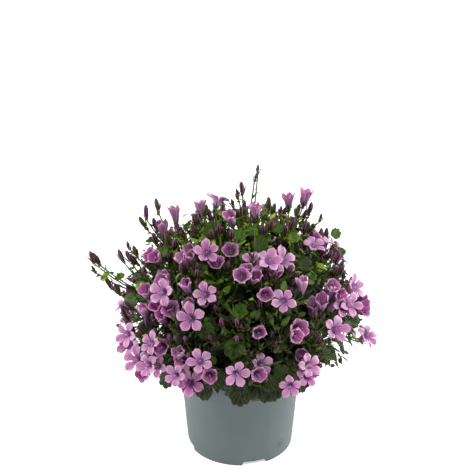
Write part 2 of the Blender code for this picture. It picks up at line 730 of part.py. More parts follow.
def leaf_fits(points, root, centre, own, axes, samples):
    """Whether a leaf keeps to its cone and the dome, and clear of the rim, the hub and what is placed."""
    edges = 0.5 * (points + np.roll(points, 1, axis=0))
    feelers = np.concatenate([points, edges, 0.5 * (points + centre), between(root, centre)])
    near_hub = np.linalg.norm(centre - CROWN) < HUB_SPARE * HUB_RADIUS
    outside = np.linalg.norm((centre - CROWN) / DOME) > 1 or under_skirt(centre)
    if near_hub or outside or bend_clear(feelers[:-FEELERS], own, axes).any():
        return False
    gaps = np.linalg.norm(feelers[:, None] - samples[None], axis=2)
    return gaps.min() > SPACING


def main():
    """Clears the scene, then makes the pot, the plant and the compost."""
    for item in list(bpy.data.objects):
        bpy.data.objects.remove(item)
    make_pot()
    plan = plan_sprays(random.Random(SEED))
    feet = make_plant(plan)
    make_soil(feet)


main()
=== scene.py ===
# %% [markdown]
# # A potted bellflower
#
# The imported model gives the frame: a pot, its compost, 28 leafy stems and 28 flower sprays. This lesson
# dresses each of them. Every plant piece is grown again here by the same rule that placed the solids, but
# with fine surfaces: bells with five oval lobes, ribbed buds, narrow sepals and scalloped leaves.

# %%
# Load the frame
import json
import math
import random
import bmesh
import bpy
import numpy as np
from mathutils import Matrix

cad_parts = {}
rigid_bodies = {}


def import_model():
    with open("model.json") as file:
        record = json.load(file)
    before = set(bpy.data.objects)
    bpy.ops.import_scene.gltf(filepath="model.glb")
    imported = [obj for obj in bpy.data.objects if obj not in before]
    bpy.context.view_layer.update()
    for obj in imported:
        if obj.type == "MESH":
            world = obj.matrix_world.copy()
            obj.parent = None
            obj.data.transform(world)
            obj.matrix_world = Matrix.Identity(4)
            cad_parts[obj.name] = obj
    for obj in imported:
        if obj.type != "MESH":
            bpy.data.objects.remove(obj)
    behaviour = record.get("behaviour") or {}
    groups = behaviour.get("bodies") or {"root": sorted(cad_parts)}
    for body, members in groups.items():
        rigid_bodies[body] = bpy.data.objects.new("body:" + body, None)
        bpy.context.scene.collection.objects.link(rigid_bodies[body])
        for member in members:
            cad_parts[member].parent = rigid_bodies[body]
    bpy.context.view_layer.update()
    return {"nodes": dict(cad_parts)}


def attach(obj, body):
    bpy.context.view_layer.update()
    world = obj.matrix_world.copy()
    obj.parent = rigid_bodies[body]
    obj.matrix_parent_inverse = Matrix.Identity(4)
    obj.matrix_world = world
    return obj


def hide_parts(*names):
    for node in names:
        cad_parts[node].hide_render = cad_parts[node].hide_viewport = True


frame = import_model()
MM = 0.001
UP = np.array([0, 0, 1.0])
SIDEWAYS = np.array([1.0, 0, 0])
print("frame loaded,", len(frame["nodes"]), "nodes")

# %% [markdown]
# ## Small helpers
#
# Colours are written as sRGB hex values, as a colour picker shows them, and turned to linear light by one
# function. One more function adds a shader node with its settings and links, and gives back the socket
# that comes out of it, so that a material reads as a list of what it is made of.

# %%
# Colour and node helpers
MATH = "ShaderNodeMath"
MIX = {"kind": "ShaderNodeMix", "out": 2, "data_type": "RGBA"}
LOW, HIGH = 6, 7


def linear(code):
    """An sRGB hex colour as linear RGBA: below 0.04045 divide by 12.92, above it a power of 2.4."""
    parts = [int(code[k:k + 2], 16) / 255 for k in (1, 3, 5)]
    parts = [p / 12.92 if p <= 0.04045 else ((p + 0.055) / 1.055) ** 2.4 for p in parts]
    return (*parts, 1.0)


def set_inputs(item, inputs):
    """Sets a node's inputs. What is itself a socket is linked, a hex colour is made linear first."""
    for key, value in inputs.items():
        if isinstance(value, bpy.types.NodeSocket):
            item.id_data.links.new(value, item.inputs[key])
        else:
            item.inputs[key].default_value = linear(value) if isinstance(value, str) else value


def add(tree, kind, inputs=(), out=0, stops=(), **settings):
    """Adds a node and gives one of its outputs. Inputs come in order, or by name or number. Stops are a
    colour ramp's places and colours, its two ends first."""
    item = tree.nodes.new(kind)
    for name, value in settings.items():
        setattr(item, name, value)
    set_inputs(item, inputs if isinstance(inputs, dict) else dict(enumerate(inputs)))
    for number, (place, colour) in enumerate(stops):
        marks = item.color_ramp.elements
        mark = marks[number] if number < 2 else marks.new(place)
        mark.position, mark.color = place, linear(colour)
    return item.outputs[out]


def start_material(name):
    """A new material, with its node tree and its Principled shader."""
    finish = bpy.data.materials.new(name)
    finish.use_nodes = True
    return finish, finish.node_tree, finish.node_tree.nodes["Principled BSDF"]


def set_shader(shader, **values):
    """Sets or links the shader's own sockets, whose names have spaces where these have underscores."""
    set_inputs(shader, {name.replace("_", " "): value for name, value in values.items()})


print("mid grey is", round(linear("#808080")[0], 3), "in linear light")

# %% [markdown]
# ## The camera
#
# The pot's foot, an ellipse 0.43 as high as it is wide, says how far the camera looked down. A lens of
# 104 mm at 1.36 m gives the small perspective of a product photograph. The camera turns a quarter of a
# degree, because the pot stands a little right of the middle of the picture.

# %%
# Camera
EYE = np.array([0, -1127 * MM, 761 * MM])
EYE_TILT = math.radians(25.6)
EYE_TURN = math.radians(0.25)
LENS = 103.6
FARTHEST = 20

lens = bpy.data.cameras.new("camera")
lens.lens = LENS
lens.clip_end = FARTHEST
camera = bpy.data.objects.new("camera", lens)
camera.location = EYE
camera.rotation_euler = (math.pi / 2 - EYE_TILT, 0, EYE_TURN)
bpy.context.scene.collection.objects.link(camera)
bpy.context.scene.camera = camera
print("camera lens", LENS, "mm")

# %% [markdown]
# ## Where everything grows
#
# All stems spread from one point, the crown of the plant. Each stem has its own cone, bounded by the planes
# halfway to its neighbours. The places in view are across and up from the pot's foot in mm, as the eye sees
# them; a line of sight through each is followed to the dome. The rest of the dome is filled by rule.

# %%
# Crown and dome, as in the solids
SEED = 11
CROWN = np.array([0, 0, 102 * MM])
DOME = np.array([122 * MM, 122 * MM, 141 * MM])
print("the dome reaches", round(DOME[0] / MM), "mm out and", round((CROWN + DOME)[2] / MM), "mm up")

# %% [markdown]
# A spray in view is a text: a kind, then the places of its pieces of that kind, across and up in mm. A
# leaf's third number is its share of the dome's size. The list starts at the lower left of the bush, and
# ends at its crown and far left. The sprays behind have a compass angle and a tilt, and share one list.

# %%
# The sprays
SPRAYS_IN_VIEW = (
    "star -85,97 -112,101 cup -72,82 star -104,76 -84,67 budlet -122,116 leaf -76,50,0.8",
    "star -41,72 -64,59 -50,52 cup -32,58 leaf -36,46,0.66 -58,46,0.76",
    "star -9,60 cup 17,60 star 31,70 budlet 3,88 leaf -10,42,0.6 19,45,0.62 -4,87",
    "star 66,59 51,50 76,81 cup 58,80 leaf 38,47,0.66 60,52,0.78",
    "cup 55,101 64,108 budlet 36,86 leaf 40,112",
    "cup 17,103 bud -3,97 -18,112 budlet 8,109 leaf -33,105",
    "star 95,105 budlet 90,94 84,90 leaf 118,104",
    "star 112,147 110,130 122,138 cup 131,127 86,138 star 100,126",
    "star 44,135 cup 23,146 leaf 60,150",
    "star 28,173 cup 8,163 -9,161 bud 50,165 leaf 60,175",
    "star 75,201 73,189 bud 90,190 88,180 100,165 leaf 94,202",
    "star -34,182 cup -22,171 0,183 bud -52,172 leaf 1,198",
    "star -34,140 -49,116 budlet -44,152 -22,141 leaf -25,150",
    "star -64,144 cup -78,156 -69,126 -83,128 bud -118,120 leaf -74,110",
    "cup -89,181 -84,168 bud -107,182 -106,172 leaf -74,183",
    "funnel -78,207 -65,222 bud -96,213 -95,223 -84,229 leaf -60,200",
    "funnel -43,226 -8,214 star -13,234 bud -35,224 budlet -26,231 leaf -22,212",
    "funnel 17,226 bud 2,247 budlet -3,242 bud 29,231 budlet 15,258 18,266 leaf 30,215",
    "funnel 41,238 65,239 bud 70,227 budlet 80,218 leaf 50,196",
    "bud -149,178 -143,176 budlet -146,166 bud -111,178 -123,146 leaf -136,157 -107,132",
)
SPRAYS_BEHIND = ((8, 80), (44, 82), (80, 80), (116, 82), (152, 80), (30, 44), (75, 40), (118, 46))
BEHIND_PLACES = (("star", -0.26, 0.02), ("star", 0.25, 0.0), ("cup", -0.10, 0.24), ("bud", 0.16, 0.30),
                 ("star", 0.02, -0.20), ("cup", 0.22, 0.24))
BEHIND_JITTER = 0.06
print(len(SPRAYS_IN_VIEW), "sprays in view,", len(SPRAYS_BEHIND), "behind")

# %% [markdown]
# The bush is a dome, so a place that the eye sees has one depth: where its line of sight meets the dome. A
# quadratic equation gives it. A spray's direction is the mean of the ways to its blooms, and the planes
# between it and its neighbours bound its cone.

# %%
# Places on the dome
NEARLY_ALONG = 0.95
LEAF_DEPTH = 0.88


def read_places(text):
    """A list of (kind, numbers) from text: each word is a kind, or the place of a piece of that kind."""
    places = []
    for word in text.split():
        if word.isalpha():
            kind = word
        else:
            places.append((kind, *(float(number) for number in word.split(","))))
    return places


def unit(vector):
    """The vector at length one."""
    return vector / np.linalg.norm(vector)


def units(vectors):
    """Each row of an array at length one."""
    return vectors / np.linalg.norm(vectors, axis=1)[:, None]


def on_dome(across, up, share):
    """The point of the dome, shrunk to a share, where the eye sees this place, or the nearest beside it."""
    seen = np.array([across, up * math.sin(EYE_TILT), up * math.cos(EYE_TILT)]) * MM
    ray = (seen - EYE) / (DOME * share)
    start = (EYE - CROWN) / (DOME * share)
    square, half, rest = ray @ ray, start @ ray, start @ start - 1
    reach = (-half - math.sqrt(max(half * half - square * rest, 0))) / square
    return EYE + reach * (seen - EYE)


def out_to_dome(way, share):
    """The point of the dome, shrunk to a share, that lies this way from the crown."""
    return CROWN + way * share / np.linalg.norm(way / DOME)


def from_angles(compass, tilt):
    """The direction at this compass angle and this angle from straight up, in degrees."""
    compass, tilt = math.radians(compass), math.radians(tilt)
    return np.array([math.cos(compass) * math.sin(tilt), math.sin(compass) * math.sin(tilt), math.cos(tilt)])


def square_to(vector, axis):
    """The unit vector square to the axis that lies nearest to this vector."""
    return unit(vector - (vector @ axis) * axis)


def frame_on(axis):
    """Two unit vectors square to the axis and to each other, the first as near upright as it can be."""
    first = square_to(SIDEWAYS if abs(axis[2]) > NEARLY_ALONG else UP, axis)
    return first, np.cross(axis, first)


def leaning(axis, turn, lean):
    """The axis, leaned by this much to the side that lies at this turn round it."""
    upward, sideways = frame_on(axis)
    return axis + lean * (math.cos(turn) * upward + math.sin(turn) * sideways)


def plan_sprays(draw):
    """Every spray's direction from the crown, with the places of its blooms, buds and leaves."""
    sprays = []
    for text in SPRAYS_IN_VIEW:
        places = []
        for kind, across, up, *depth in read_places(text):
            share = depth[0] if depth else LEAF_DEPTH if kind == "leaf" else 1
            places.append((kind, on_dome(across, up, share)))
        middle = sum(unit(place - CROWN) for kind, place in places if kind != "leaf")
        sprays.append((unit(middle), places))
    for compass, tilt in SPRAYS_BEHIND:
        axis = from_angles(compass, tilt)
        upward, sideways = frame_on(axis)
        places = []
        for kind, side, lift in BEHIND_PLACES:
            side, lift = side + draw.uniform(-1, 1) * BEHIND_JITTER, lift + draw.uniform(0, 1) * BEHIND_JITTER
            places.append((kind, out_to_dome(axis + side * sideways + lift * upward, 1)))
        sprays.append((axis, places))
    return sprays


PLAN = plan_sprays(random.Random(SEED))
AXES = np.array([axis for axis, _ in PLAN])
PLANES = [units(axis - np.delete(AXES, own, axis=0)) for own, axis in enumerate(AXES)]


def nearest_spray(place):
    """The number of the spray whose direction lies nearest to this place."""
    return int((AXES @ unit(place - CROWN)).argmax())


print(len(PLAN), "sprays planned")

# %% [markdown]
# A bloom or leaf that would reach over its cone's edge, or into the pot's rim, is bent back until it is
# clear. Blooms that crowd each other move along the line of sight, so they stay where the eye sees them.

# %%
# Bending pieces clear
CLEAR = 0.4 * MM
BEND_STEPS = 60
RIM_REACH = 63.5 * MM
RIM_TOP = 92 * MM


def bend_clear(points, own):
    """How far to shift points so that they lie inside their own cone and above the rim."""
    shift = np.zeros(3)
    for _ in range(BEND_STEPS):
        moved = points + shift
        short = CLEAR - ((moved - CROWN) @ PLANES[own].T).min(axis=0)
        nearest = short.argmax()
        worst, push = (short[nearest], PLANES[own][nearest]) if short[nearest] > 0 else (0, None)
        low = moved[(np.hypot(moved[:, 0], moved[:, 1]) < RIM_REACH) & (moved[:, 2] < RIM_TOP)]
        if len(low) and RIM_TOP - low[:, 2].min() > worst:
            worst, push = RIM_TOP - low[:, 2].min(), UP
        if push is None:
            return shift
        shift = shift + push * worst
    return shift


closest = (AXES @ AXES.T - 2 * np.eye(len(AXES))).max()
print("the two closest sprays are", round(math.degrees(math.acos(closest))), "degrees apart")

# %% [markdown]
# The solids of a bloom and of a leaf have few corners: a bell has those of its tube, notches and lobe tips,
# and a leaf those of its teeth, its stalk and its cupped middle. They are worked out here in the same way,
# because they are what a piece feels for its neighbours with.

# %%
# Corners of the solids
BELLS = {
    "star": ((4.0, 3.6), (5.6, 6.2), (13.0, 8.6)),
    "cup": ((4.6, 4.0), (7.4, 10.6), (9.2, 14.2)),
    "funnel": ((3.4, 5.0), (6.2, 11.6), (9.6, 16.0)),
}
SHOULDERS = {"star": (9.8, 8.3, 22)}
LOBES = 5
LOBE_HALF = 0.1
BELL_WALL = 0.7 * MM
BELL_FLOORS = {"star": 4.6 * MM, "cup": 2.2 * MM, "funnel": 2.2 * MM}
BUD_LENGTH = {"bud": 13 * MM, "budlet": 7 * MM}
BUD_RADIUS = {"bud": 2.2 * MM, "budlet": 1.5 * MM}
BUD_WIDEST = 0.45
BUD_SIDES = 4
PEDICEL_RADIUS = 0.75 * MM
STALK_SIDES = 3
LEAF_RADIUS = 8.4 * MM
LEAF_WALL = 0.8 * MM
LEAF_TOOTH_ANGLES = np.radians((126, 84, 42, 0, -42, -84, -126))
LEAF_TOOTH_REACHES = (1.0, 0.84, 1.02, 0.88, 1.02, 0.84, 1.0)
LEAF_NECK = 0.5
LEAF_CUP = 0.16
PETIOLE_HALF_WIDTH = 0.6 * MM


def ring(centre, axis, side, radii, heights, turns):
    """Points round an axis, at given radii, heights and turns (one turn is 1)."""
    angles = 2 * math.pi * np.asarray(turns, float)
    other = np.cross(axis, side)
    radii = np.broadcast_to(np.asarray(radii, float), angles.shape)
    heights = np.broadcast_to(np.asarray(heights, float), angles.shape)
    flat = np.outer(radii * np.cos(angles), side) + np.outer(radii * np.sin(angles), other)
    return centre + flat + np.outer(heights, axis)


def side_at(path_way, facing):
    """The side vector that a stalk carries to its end, square to the way that the bloom faces."""
    return square_to(frame_on(path_way)[0], facing)


def lobe_marks(kind):
    """The turns, radii and heights of one lobe's corners, from its notch to just before the next."""
    _, notch, tip = BELLS[kind]
    marks = [(0, *notch), (LOBE_HALF, *tip)]
    if kind in SHOULDERS:
        radius, height, angle = SHOULDERS[kind]
        marks.insert(1, (LOBE_HALF - angle / 360, radius, height))
        marks.append((LOBE_HALF + angle / 360, radius, height))
    return np.array(marks).T


def bloom_points(kind, root, base, facing, spin, size):
    """The corners of a bloom's or bud's solid, to feel for its neighbours with."""
    way = unit(base - root)
    side = frame_on(way)[0]
    turns = np.arange(STALK_SIDES) / STALK_SIDES
    stalk = [ring(point, way, side, PEDICEL_RADIUS, 0, turns) for point in (root, base)]
    side = side_at(way, facing)
    if kind in BUD_LENGTH:
        length = BUD_LENGTH[kind]
        turns = np.arange(BUD_SIDES) / BUD_SIDES
        belly = ring(base, facing, side, BUD_RADIUS[kind], BUD_WIDEST * length, turns)
        return np.concatenate(stalk + [belly, [base + facing * length]])
    tube, tip = BELLS[kind][0], BELLS[kind][-1]
    lobes = np.arange(LOBES)[:, None] / LOBES + spin
    turns, radii, heights = lobe_marks(kind)
    turns, radii, heights = (lobes + turns).ravel(), np.tile(radii, LOBES), np.tile(heights, LOBES)
    radii, heights = radii * MM * size, heights * MM * size
    slope = unit(np.array([tip[0] - tube[0], tip[1] - tube[1]]))
    rings = [ring(base, facing, side, tube[0] * MM * size, tube[1] * MM * size, lobes.ravel()),
             ring(base, facing, side, radii, heights, turns),
             ring(base, facing, side, radii - slope[1] * BELL_WALL, heights + slope[0] * BELL_WALL, turns)]
    return np.concatenate(stalk + rings + [[base + facing * BELL_FLOORS[kind]]])


def leaf_frame(root, centre, normal, size):
    """The ways ahead and across in a leaf, its radius, and its neck, where its stalk joins."""
    ahead = square_to(centre - root, normal)
    radius = LEAF_RADIUS * size
    return ahead, np.cross(normal, ahead), radius, centre - LEAF_NECK * radius * ahead


def leaf_points(root, centre, normal, size):
    """The corners of a leaf's solid."""
    ahead, across, radius, neck = leaf_frame(root, centre, normal, size)
    outline = []
    for angle, reach in zip(LEAF_TOOTH_ANGLES, LEAF_TOOTH_REACHES):
        outline.append(centre + radius * reach * (math.cos(angle) * ahead + math.sin(angle) * across))
    outline += [neck - PETIOLE_HALF_WIDTH * across, root - PETIOLE_HALF_WIDTH * across]
    outline += [root + PETIOLE_HALF_WIDTH * across, neck + PETIOLE_HALF_WIDTH * across]
    top = outline + [centre - LEAF_CUP * radius * normal]
    return np.array([p + LEAF_WALL * normal for p in top] + top)


print("a star's lobe has", lobe_marks("star").shape[1], "corners, a cup's", lobe_marks("cup").shape[1])

# %% [markdown]
# A bloom is tried at its place, then a little farther or nearer along the line of sight, until nothing
# crowds it. What is placed is kept as points, so that its neighbours can feel for it.

# %%
# Fitting blooms
LIFTS = {"funnel": 1.6, "bud": 1.6, "budlet": 1.6}
LIFT = 0.25
EYE_PULL = 0.6
FACE_WOBBLE = 0.25
BELL_TURN = 0.19
BELL_SIZES = (0.92, 1.08)
DEPTH_STEPS = (0, 6 * MM, -5 * MM, 12 * MM, 18 * MM)
BLOOM_TRIES = 4
STALK_POINTS = 2 * STALK_SIDES
SPACING = 2.4 * MM
FEELERS = 16


def between(start, end):
    """Points from start to end, close enough to feel for what comes near."""
    return start + (end - start) * np.linspace(0, 1, FEELERS)[:, None]


def face_out(kind, place, draw):
    """The way a bloom faces: out from the dome, towards the eye where it is in view, and up."""
    out = unit((place - CROWN) / DOME ** 2)
    toward = EYE_PULL * unit(EYE - place) if place[1] < 0 else 0
    wobble = np.array([draw.uniform(-1, 1) for _ in range(3)])
    return unit(out + toward + FACE_WOBBLE * wobble + LIFTS.get(kind, LIFT) * UP)


def fit_bloom(own, kind, place, root, samples, draw):
    """A bell or bud at its place, or a little nearer or further in where that crowds the others less."""
    facing = face_out(kind, place, draw)
    spin, size = draw.uniform(0, BELL_TURN), draw.uniform(*BELL_SIZES)
    away = unit(place - EYE) if place[1] < 0 else -unit(place - CROWN)
    depth = 0.5 * BUD_LENGTH[kind] if kind in BUD_LENGTH else BELLS[kind][1][1] * MM * size
    best = (-1, None, None)
    for step in DEPTH_STEPS:
        base = place + step * away - facing * depth
        for _ in range(BLOOM_TRIES):
            points = bloom_points(kind, root, base, facing, spin, size)
            shift = bend_clear(points[STALK_POINTS:], own)
            if not shift.any():
                break
            base = base + shift
        blades = np.concatenate([points[STALK_POINTS:], 0.5 * (points[STALK_POINTS:] + base)])
        gap = np.linalg.norm(blades[:, None] - samples[None], axis=2).min()
        if gap > best[0]:
            best = (gap, points, base)
        if gap > SPACING:
            break
    bloom = {"kind": kind, "root": root, "base": best[2], "facing": facing, "spin": spin, "size": size,
             "gap": best[0]}
    return bloom, best[1]


print("a bloom has", len(DEPTH_STEPS), "depths to try")

# %% [markdown]
# A leaf fits where it keeps to its cone, inside the dome and above the bush's lower edge, and comes near
# nothing that is there. Its stem rises from the compost, bends outwards, and runs straight from the hub.

# %%
# Fitting leaves
HUB_RADIUS = 38 * MM
HUB_SPARE = 1.3
SKIRT_RISE = 0.45
SOIL_TOP = 83 * MM
SOIL_CROWN = 2.5 * MM
STEM_DEPTH = 7 * MM
FOOT_CIRCLE_MIN = 5 * MM
FOOT_CIRCLE_MAX = 25 * MM
LEAVE_SOIL_RUN = 0.6
ENTER_HUB_RUN = 12 * MM


def under_skirt(point):
    """Whether a point hangs below the bush's lower edge, which rises outwards from the rim."""
    return point[2] < RIM_TOP + SKIRT_RISE * (math.hypot(point[0], point[1]) - RIM_REACH)


def leaf_fits(points, root, centre, own, samples):
    """Whether a leaf keeps to its cone and the dome, and clear of the rim, the hub and what is placed."""
    edges = 0.5 * (points + np.roll(points, 1, axis=0))
    feelers = np.concatenate([points, edges, 0.5 * (points + centre), between(root, centre)])
    near_hub = np.linalg.norm(centre - CROWN) < HUB_SPARE * HUB_RADIUS
    outside = np.linalg.norm((centre - CROWN) / DOME) > 1 or under_skirt(centre)
    if near_hub or outside or bend_clear(feelers[:-FEELERS], own).any():
        return False
    gaps = np.linalg.norm(feelers[:, None] - samples[None], axis=2)
    return gaps.min() > SPACING


def stem_path(axis, length):
    """A stem from its foot in the compost, up and out through the hub, to its top."""
    tilt = math.degrees(math.acos(axis[2]))
    flat = unit(np.array([axis[0], axis[1], 0]))
    foot_radius = FOOT_CIRCLE_MIN + (FOOT_CIRCLE_MAX - FOOT_CIRCLE_MIN) * tilt / 90
    foot = flat * foot_radius + UP * (SOIL_TOP - STEM_DEPTH + SOIL_CROWN)
    neck = foot + UP * (STEM_DEPTH + MM)
    hub = CROWN + HUB_RADIUS * axis
    above = neck + UP * LEAVE_SOIL_RUN * np.linalg.norm(hub - neck)
    before = hub - axis * ENTER_HUB_RUN
    middle = (neck + above + before + hub) / 4
    return np.array([foot, neck, middle, hub, CROWN + length * axis])


print("the bush's lower edge starts", round(RIM_TOP / MM), "mm up, at the rim")

# %% [markdown]
# The plant is grown stem by stem, with its random draws in the order of the solids, so that both are the
# same plant. A leaf in view is drawn back towards its stem step by step until it fits, and any other is
# tried at the golden angle from the last.

# %%
# Growing the plant
GAP = 0.3 * MM
STEM_SHARE = 0.6
SPRAY_SHARE = 0.8
FIRST_FORK = 0.25
FORK_SPAN = 0.65
LEAVES_IN_VIEW_STEM = 1
LEAVES_BEHIND_STEM = 3
LEAF_IN_VIEW_SIZE = 1.15
LEAF_SIZES = (0.85, 1.15)
LEAF_REACHES = (0.7, 0.86)
LEAF_LEAN = 0.3
LEAF_LIFT = 0.5
LEAF_RETREAT = 0.08
LEAF_TRIES = 14
TOP_LEAF = 0.9
LEAF_STEP = 0.22
GOLDEN_TURN = math.radians(137.5)
EDGE_ON = 0.93
EDGE_TURN = 0.8
NEAR_ROOT = 4


def grow_spray(own, blooms, start, end, draw):
    """The stalk and blooms of one spray, and the points that they fill."""
    low, high = CROWN + (start + GAP) * AXES[own], CROWN + end * AXES[own]
    grown, samples = [], [between(low, high)]
    for order, (kind, place) in enumerate(blooms):
        root = low + (high - low) * (FIRST_FORK + FORK_SPAN * (order + 1) / (len(blooms) + 1))
        bloom, points = fit_bloom(own, kind, place, root, np.concatenate(samples), draw)
        grown.append(bloom)
        samples += [points, between(root, bloom["base"])]
    return {"stalk": (low, high), "blooms": grown}, np.concatenate(samples)


def grow_leaves(own, path, places, samples, draw):
    """The leaves of one stem, and the points that its spray and leaves fill."""
    axis, hub, top = AXES[own], path[-2], path[-1]
    grown = []
    turn = draw.uniform(0, 2 * math.pi)
    wishes = [(place, LEAF_IN_VIEW_SIZE) for kind, place in places if kind == "leaf"]
    more = LEAVES_IN_VIEW_STEM if own < len(SPRAYS_IN_VIEW) else LEAVES_BEHIND_STEM
    wishes += [(None, draw.uniform(*LEAF_SIZES)) for _ in range(more)]
    for order, (wish, size) in enumerate(wishes):
        root = hub + (top - hub) * (TOP_LEAF - LEAF_STEP * order)
        for attempt in range(LEAF_TRIES):
            if wish is not None and attempt < LEAF_TRIES / 2:
                centre = wish + (root - wish) * LEAF_RETREAT * attempt
            else:
                turn += GOLDEN_TURN
                centre = out_to_dome(leaning(axis, turn, LEAF_LEAN), draw.uniform(*LEAF_REACHES))
            normal = unit(unit(centre - CROWN) + LEAF_LIFT * UP)
            if abs(unit(centre - root) @ normal) > EDGE_ON:
                normal = unit(normal + EDGE_TURN * frame_on(axis)[1])
            centre = centre + bend_clear(leaf_points(root, centre, normal, size), own)
            points = leaf_points(root, centre, normal, size)
            if leaf_fits(points, root, centre, own, samples):
                grown.append({"root": root, "centre": centre, "normal": normal, "size": size})
                samples = np.concatenate([samples, points, between(root, centre)[NEAR_ROOT:]])
                break
    return grown, samples


def grow_plant():
    """Everything that grows, stem by stem, in the order of the solids."""
    draw = random.Random(SEED)
    plants = []
    for own, (axis, places) in enumerate(PLAN):
        blooms = [(kind, place) for kind, place in places if kind != "leaf"]
        reach = min(np.linalg.norm(place - CROWN) for kind, place in blooms)
        path = stem_path(axis, STEM_SHARE * reach)
        spray, samples = grow_spray(own, blooms, STEM_SHARE * reach, SPRAY_SHARE * reach, draw)
        leaves, samples = grow_leaves(own, path, places, samples, draw)
        plants.append({"axis": axis, "path": path, "leaves": leaves, "samples": samples, **spray})
    return plants


def total(what):
    """How many blooms or leaves the whole plant has."""
    return sum(len(plant[what]) for plant in PLANTS)


PLANTS = grow_plant()
print(total("blooms"), "blooms and buds,", total("leaves"), "leaves")

# %% [markdown]
# ## What the solids leave out
#
# The solids hold the main blooms. The real plant has more, partly hidden: small cups behind the stars, and
# tight clusters of striped buds. Those that can be told apart are placed as the eye sees them, and each
# joins the spray whose direction it lies nearest to. Small buds fill the gaps by rule, all round.

# %%
# More blooms and buds
MORE_IN_VIEW = """
    funnel -59,174 -50,173 star 41,174 -79,67 -57,62 73,74 funnel -99,121 budlet -69,109 bud -63,98 -55,99
    budlet -21,90 -45,150 funnel 82,142 budlet 82,118 2,108 8,116 21,89 11,82 6,72 funnel -59,184 -74,155
    -86,150 -69,127 14,160 3,164 33,162 74,140 92,132 90,187 -36,135 -71,84 bud -60,165 -44,168 -67,190
    -72,195 funnel -92,142 -80,140 -76,118 bud -88,118 -94,112 funnel 84,150 96,138 bud 78,132 funnel 64,148
    bud -52,152 funnel -58,150 bud -42,160 -64,172 20,152 funnel 24,166 bud -98,104 -84,106 -70,98 66,66
    -52,78 -110,180 -114,176 budlet -108,186 bud -79,207 -83,202 -76,200 -86,210 88,192 92,186 84,196 93,164
    101,168 budlet 104,160 bud 51,210 -30,220 budlet -26,227 bud -35,221 -97,211 59,230 budlet 42,231 81,217
    76,214 bud -3,226 budlet -8,232 funnel -49,128 113,139 star 117,129 -110,90 cup -95,62 bud -63,110
    funnel -96,146 bud -127,150 -117,122 -119,95 cup -58,75 star 12,172 funnel 98,141 bud 3,246 -10,200
    -20,206 22,205 30,210 -45,205 60,215 budlet 10,215 -15,222 35,220 -60,206 bud 46,205 -28,200
"""
FILLED_SPRAY = {"in view": "bud budlet bud budlet bud bud budlet bud".split(),
                "behind": "star cup star bud cup budlet star budlet bud budlet".split()}
FILL_TRIES = 5
FILL_SPREAD = (0.05, 0.42)
FILL_SHARES = (0.82, 0.97)
FILL_ROOM = 3 * MM
MIN_GAP = {"placed": 0.2 * MM, "filled": 1.8 * MM}
MORE_SHARE = 0.96
MORE_ROOTS = (0.1, 0.95)
SKIRT_ROOM = 9 * MM


def room(points, own):
    """How far points lie inside their cone: the least distance to its planes."""
    return ((points - CROWN) @ PLANES[own].T).min()


def add_bloom(own, kind, place, least, rng):
    """Grows one more bloom on a spray, if it keeps clear of what is there."""
    plant = PLANTS[own]
    low, high = plant["stalk"]
    root = low + (high - low) * rng.uniform(*MORE_ROOTS)
    bloom, points = fit_bloom(own, kind, place, root, plant["samples"], rng)
    if bloom["gap"] < least:
        return False
    plant["blooms"].append(bloom)
    plant["samples"] = np.concatenate([plant["samples"], points, between(root, bloom["base"])[NEAR_ROOT:]])
    return True


rng = np.random.default_rng(SEED)
for kind, across, up in read_places(MORE_IN_VIEW):
    place = on_dome(across, up, MORE_SHARE)
    add_bloom(nearest_spray(place), kind, place, MIN_GAP["placed"], rng)
for own, axis in enumerate(AXES):
    for kind in FILLED_SPRAY["in view" if own < len(SPRAYS_IN_VIEW) else "behind"]:
        for _ in range(FILL_TRIES):
            turn, spread = rng.uniform(0, 2 * math.pi), rng.uniform(*FILL_SPREAD)
            place = out_to_dome(unit(leaning(axis, turn, spread)), rng.uniform(*FILL_SHARES))
            fits = room(place, own) > FILL_ROOM and not under_skirt(place - SKIRT_ROOM * UP)
            if fits and add_bloom(own, kind, place, MIN_GAP["filled"], rng):
                break
print(total("blooms"), "blooms and buds with the small ones")

# %% [markdown]
# ## Surfaces on grids
#
# Petals, sepals, leaves, buds and stalks are all grids of points: rows run along the piece, columns run
# across or round it. Many grids of one size are kept in one array, so a whole spray is one calculation.
# The place across and along a grid is stored as the UV map, and each grid's tone as an attribute.

# %%
# Grids to meshes
MERGE = 0.004 * MM


def grid_faces(rows, columns, closed):
    """The quads of one grid, which wraps round if it is closed, and the UV of each of their corners."""
    wide = columns if closed else columns - 1
    row, column = np.meshgrid(np.arange(rows - 1), np.arange(wide), indexing="ij")
    corners = [(row, column), (row, column + 1), (row + 1, column + 1), (row + 1, column)]
    quads = np.stack([r * columns + c % columns for r, c in corners], axis=-1)
    places = np.stack([np.stack([c / wide, r / (rows - 1)], axis=-1) for r, c in corners], axis=-2)
    return quads.reshape(-1, 4), places.reshape(-1, 2)


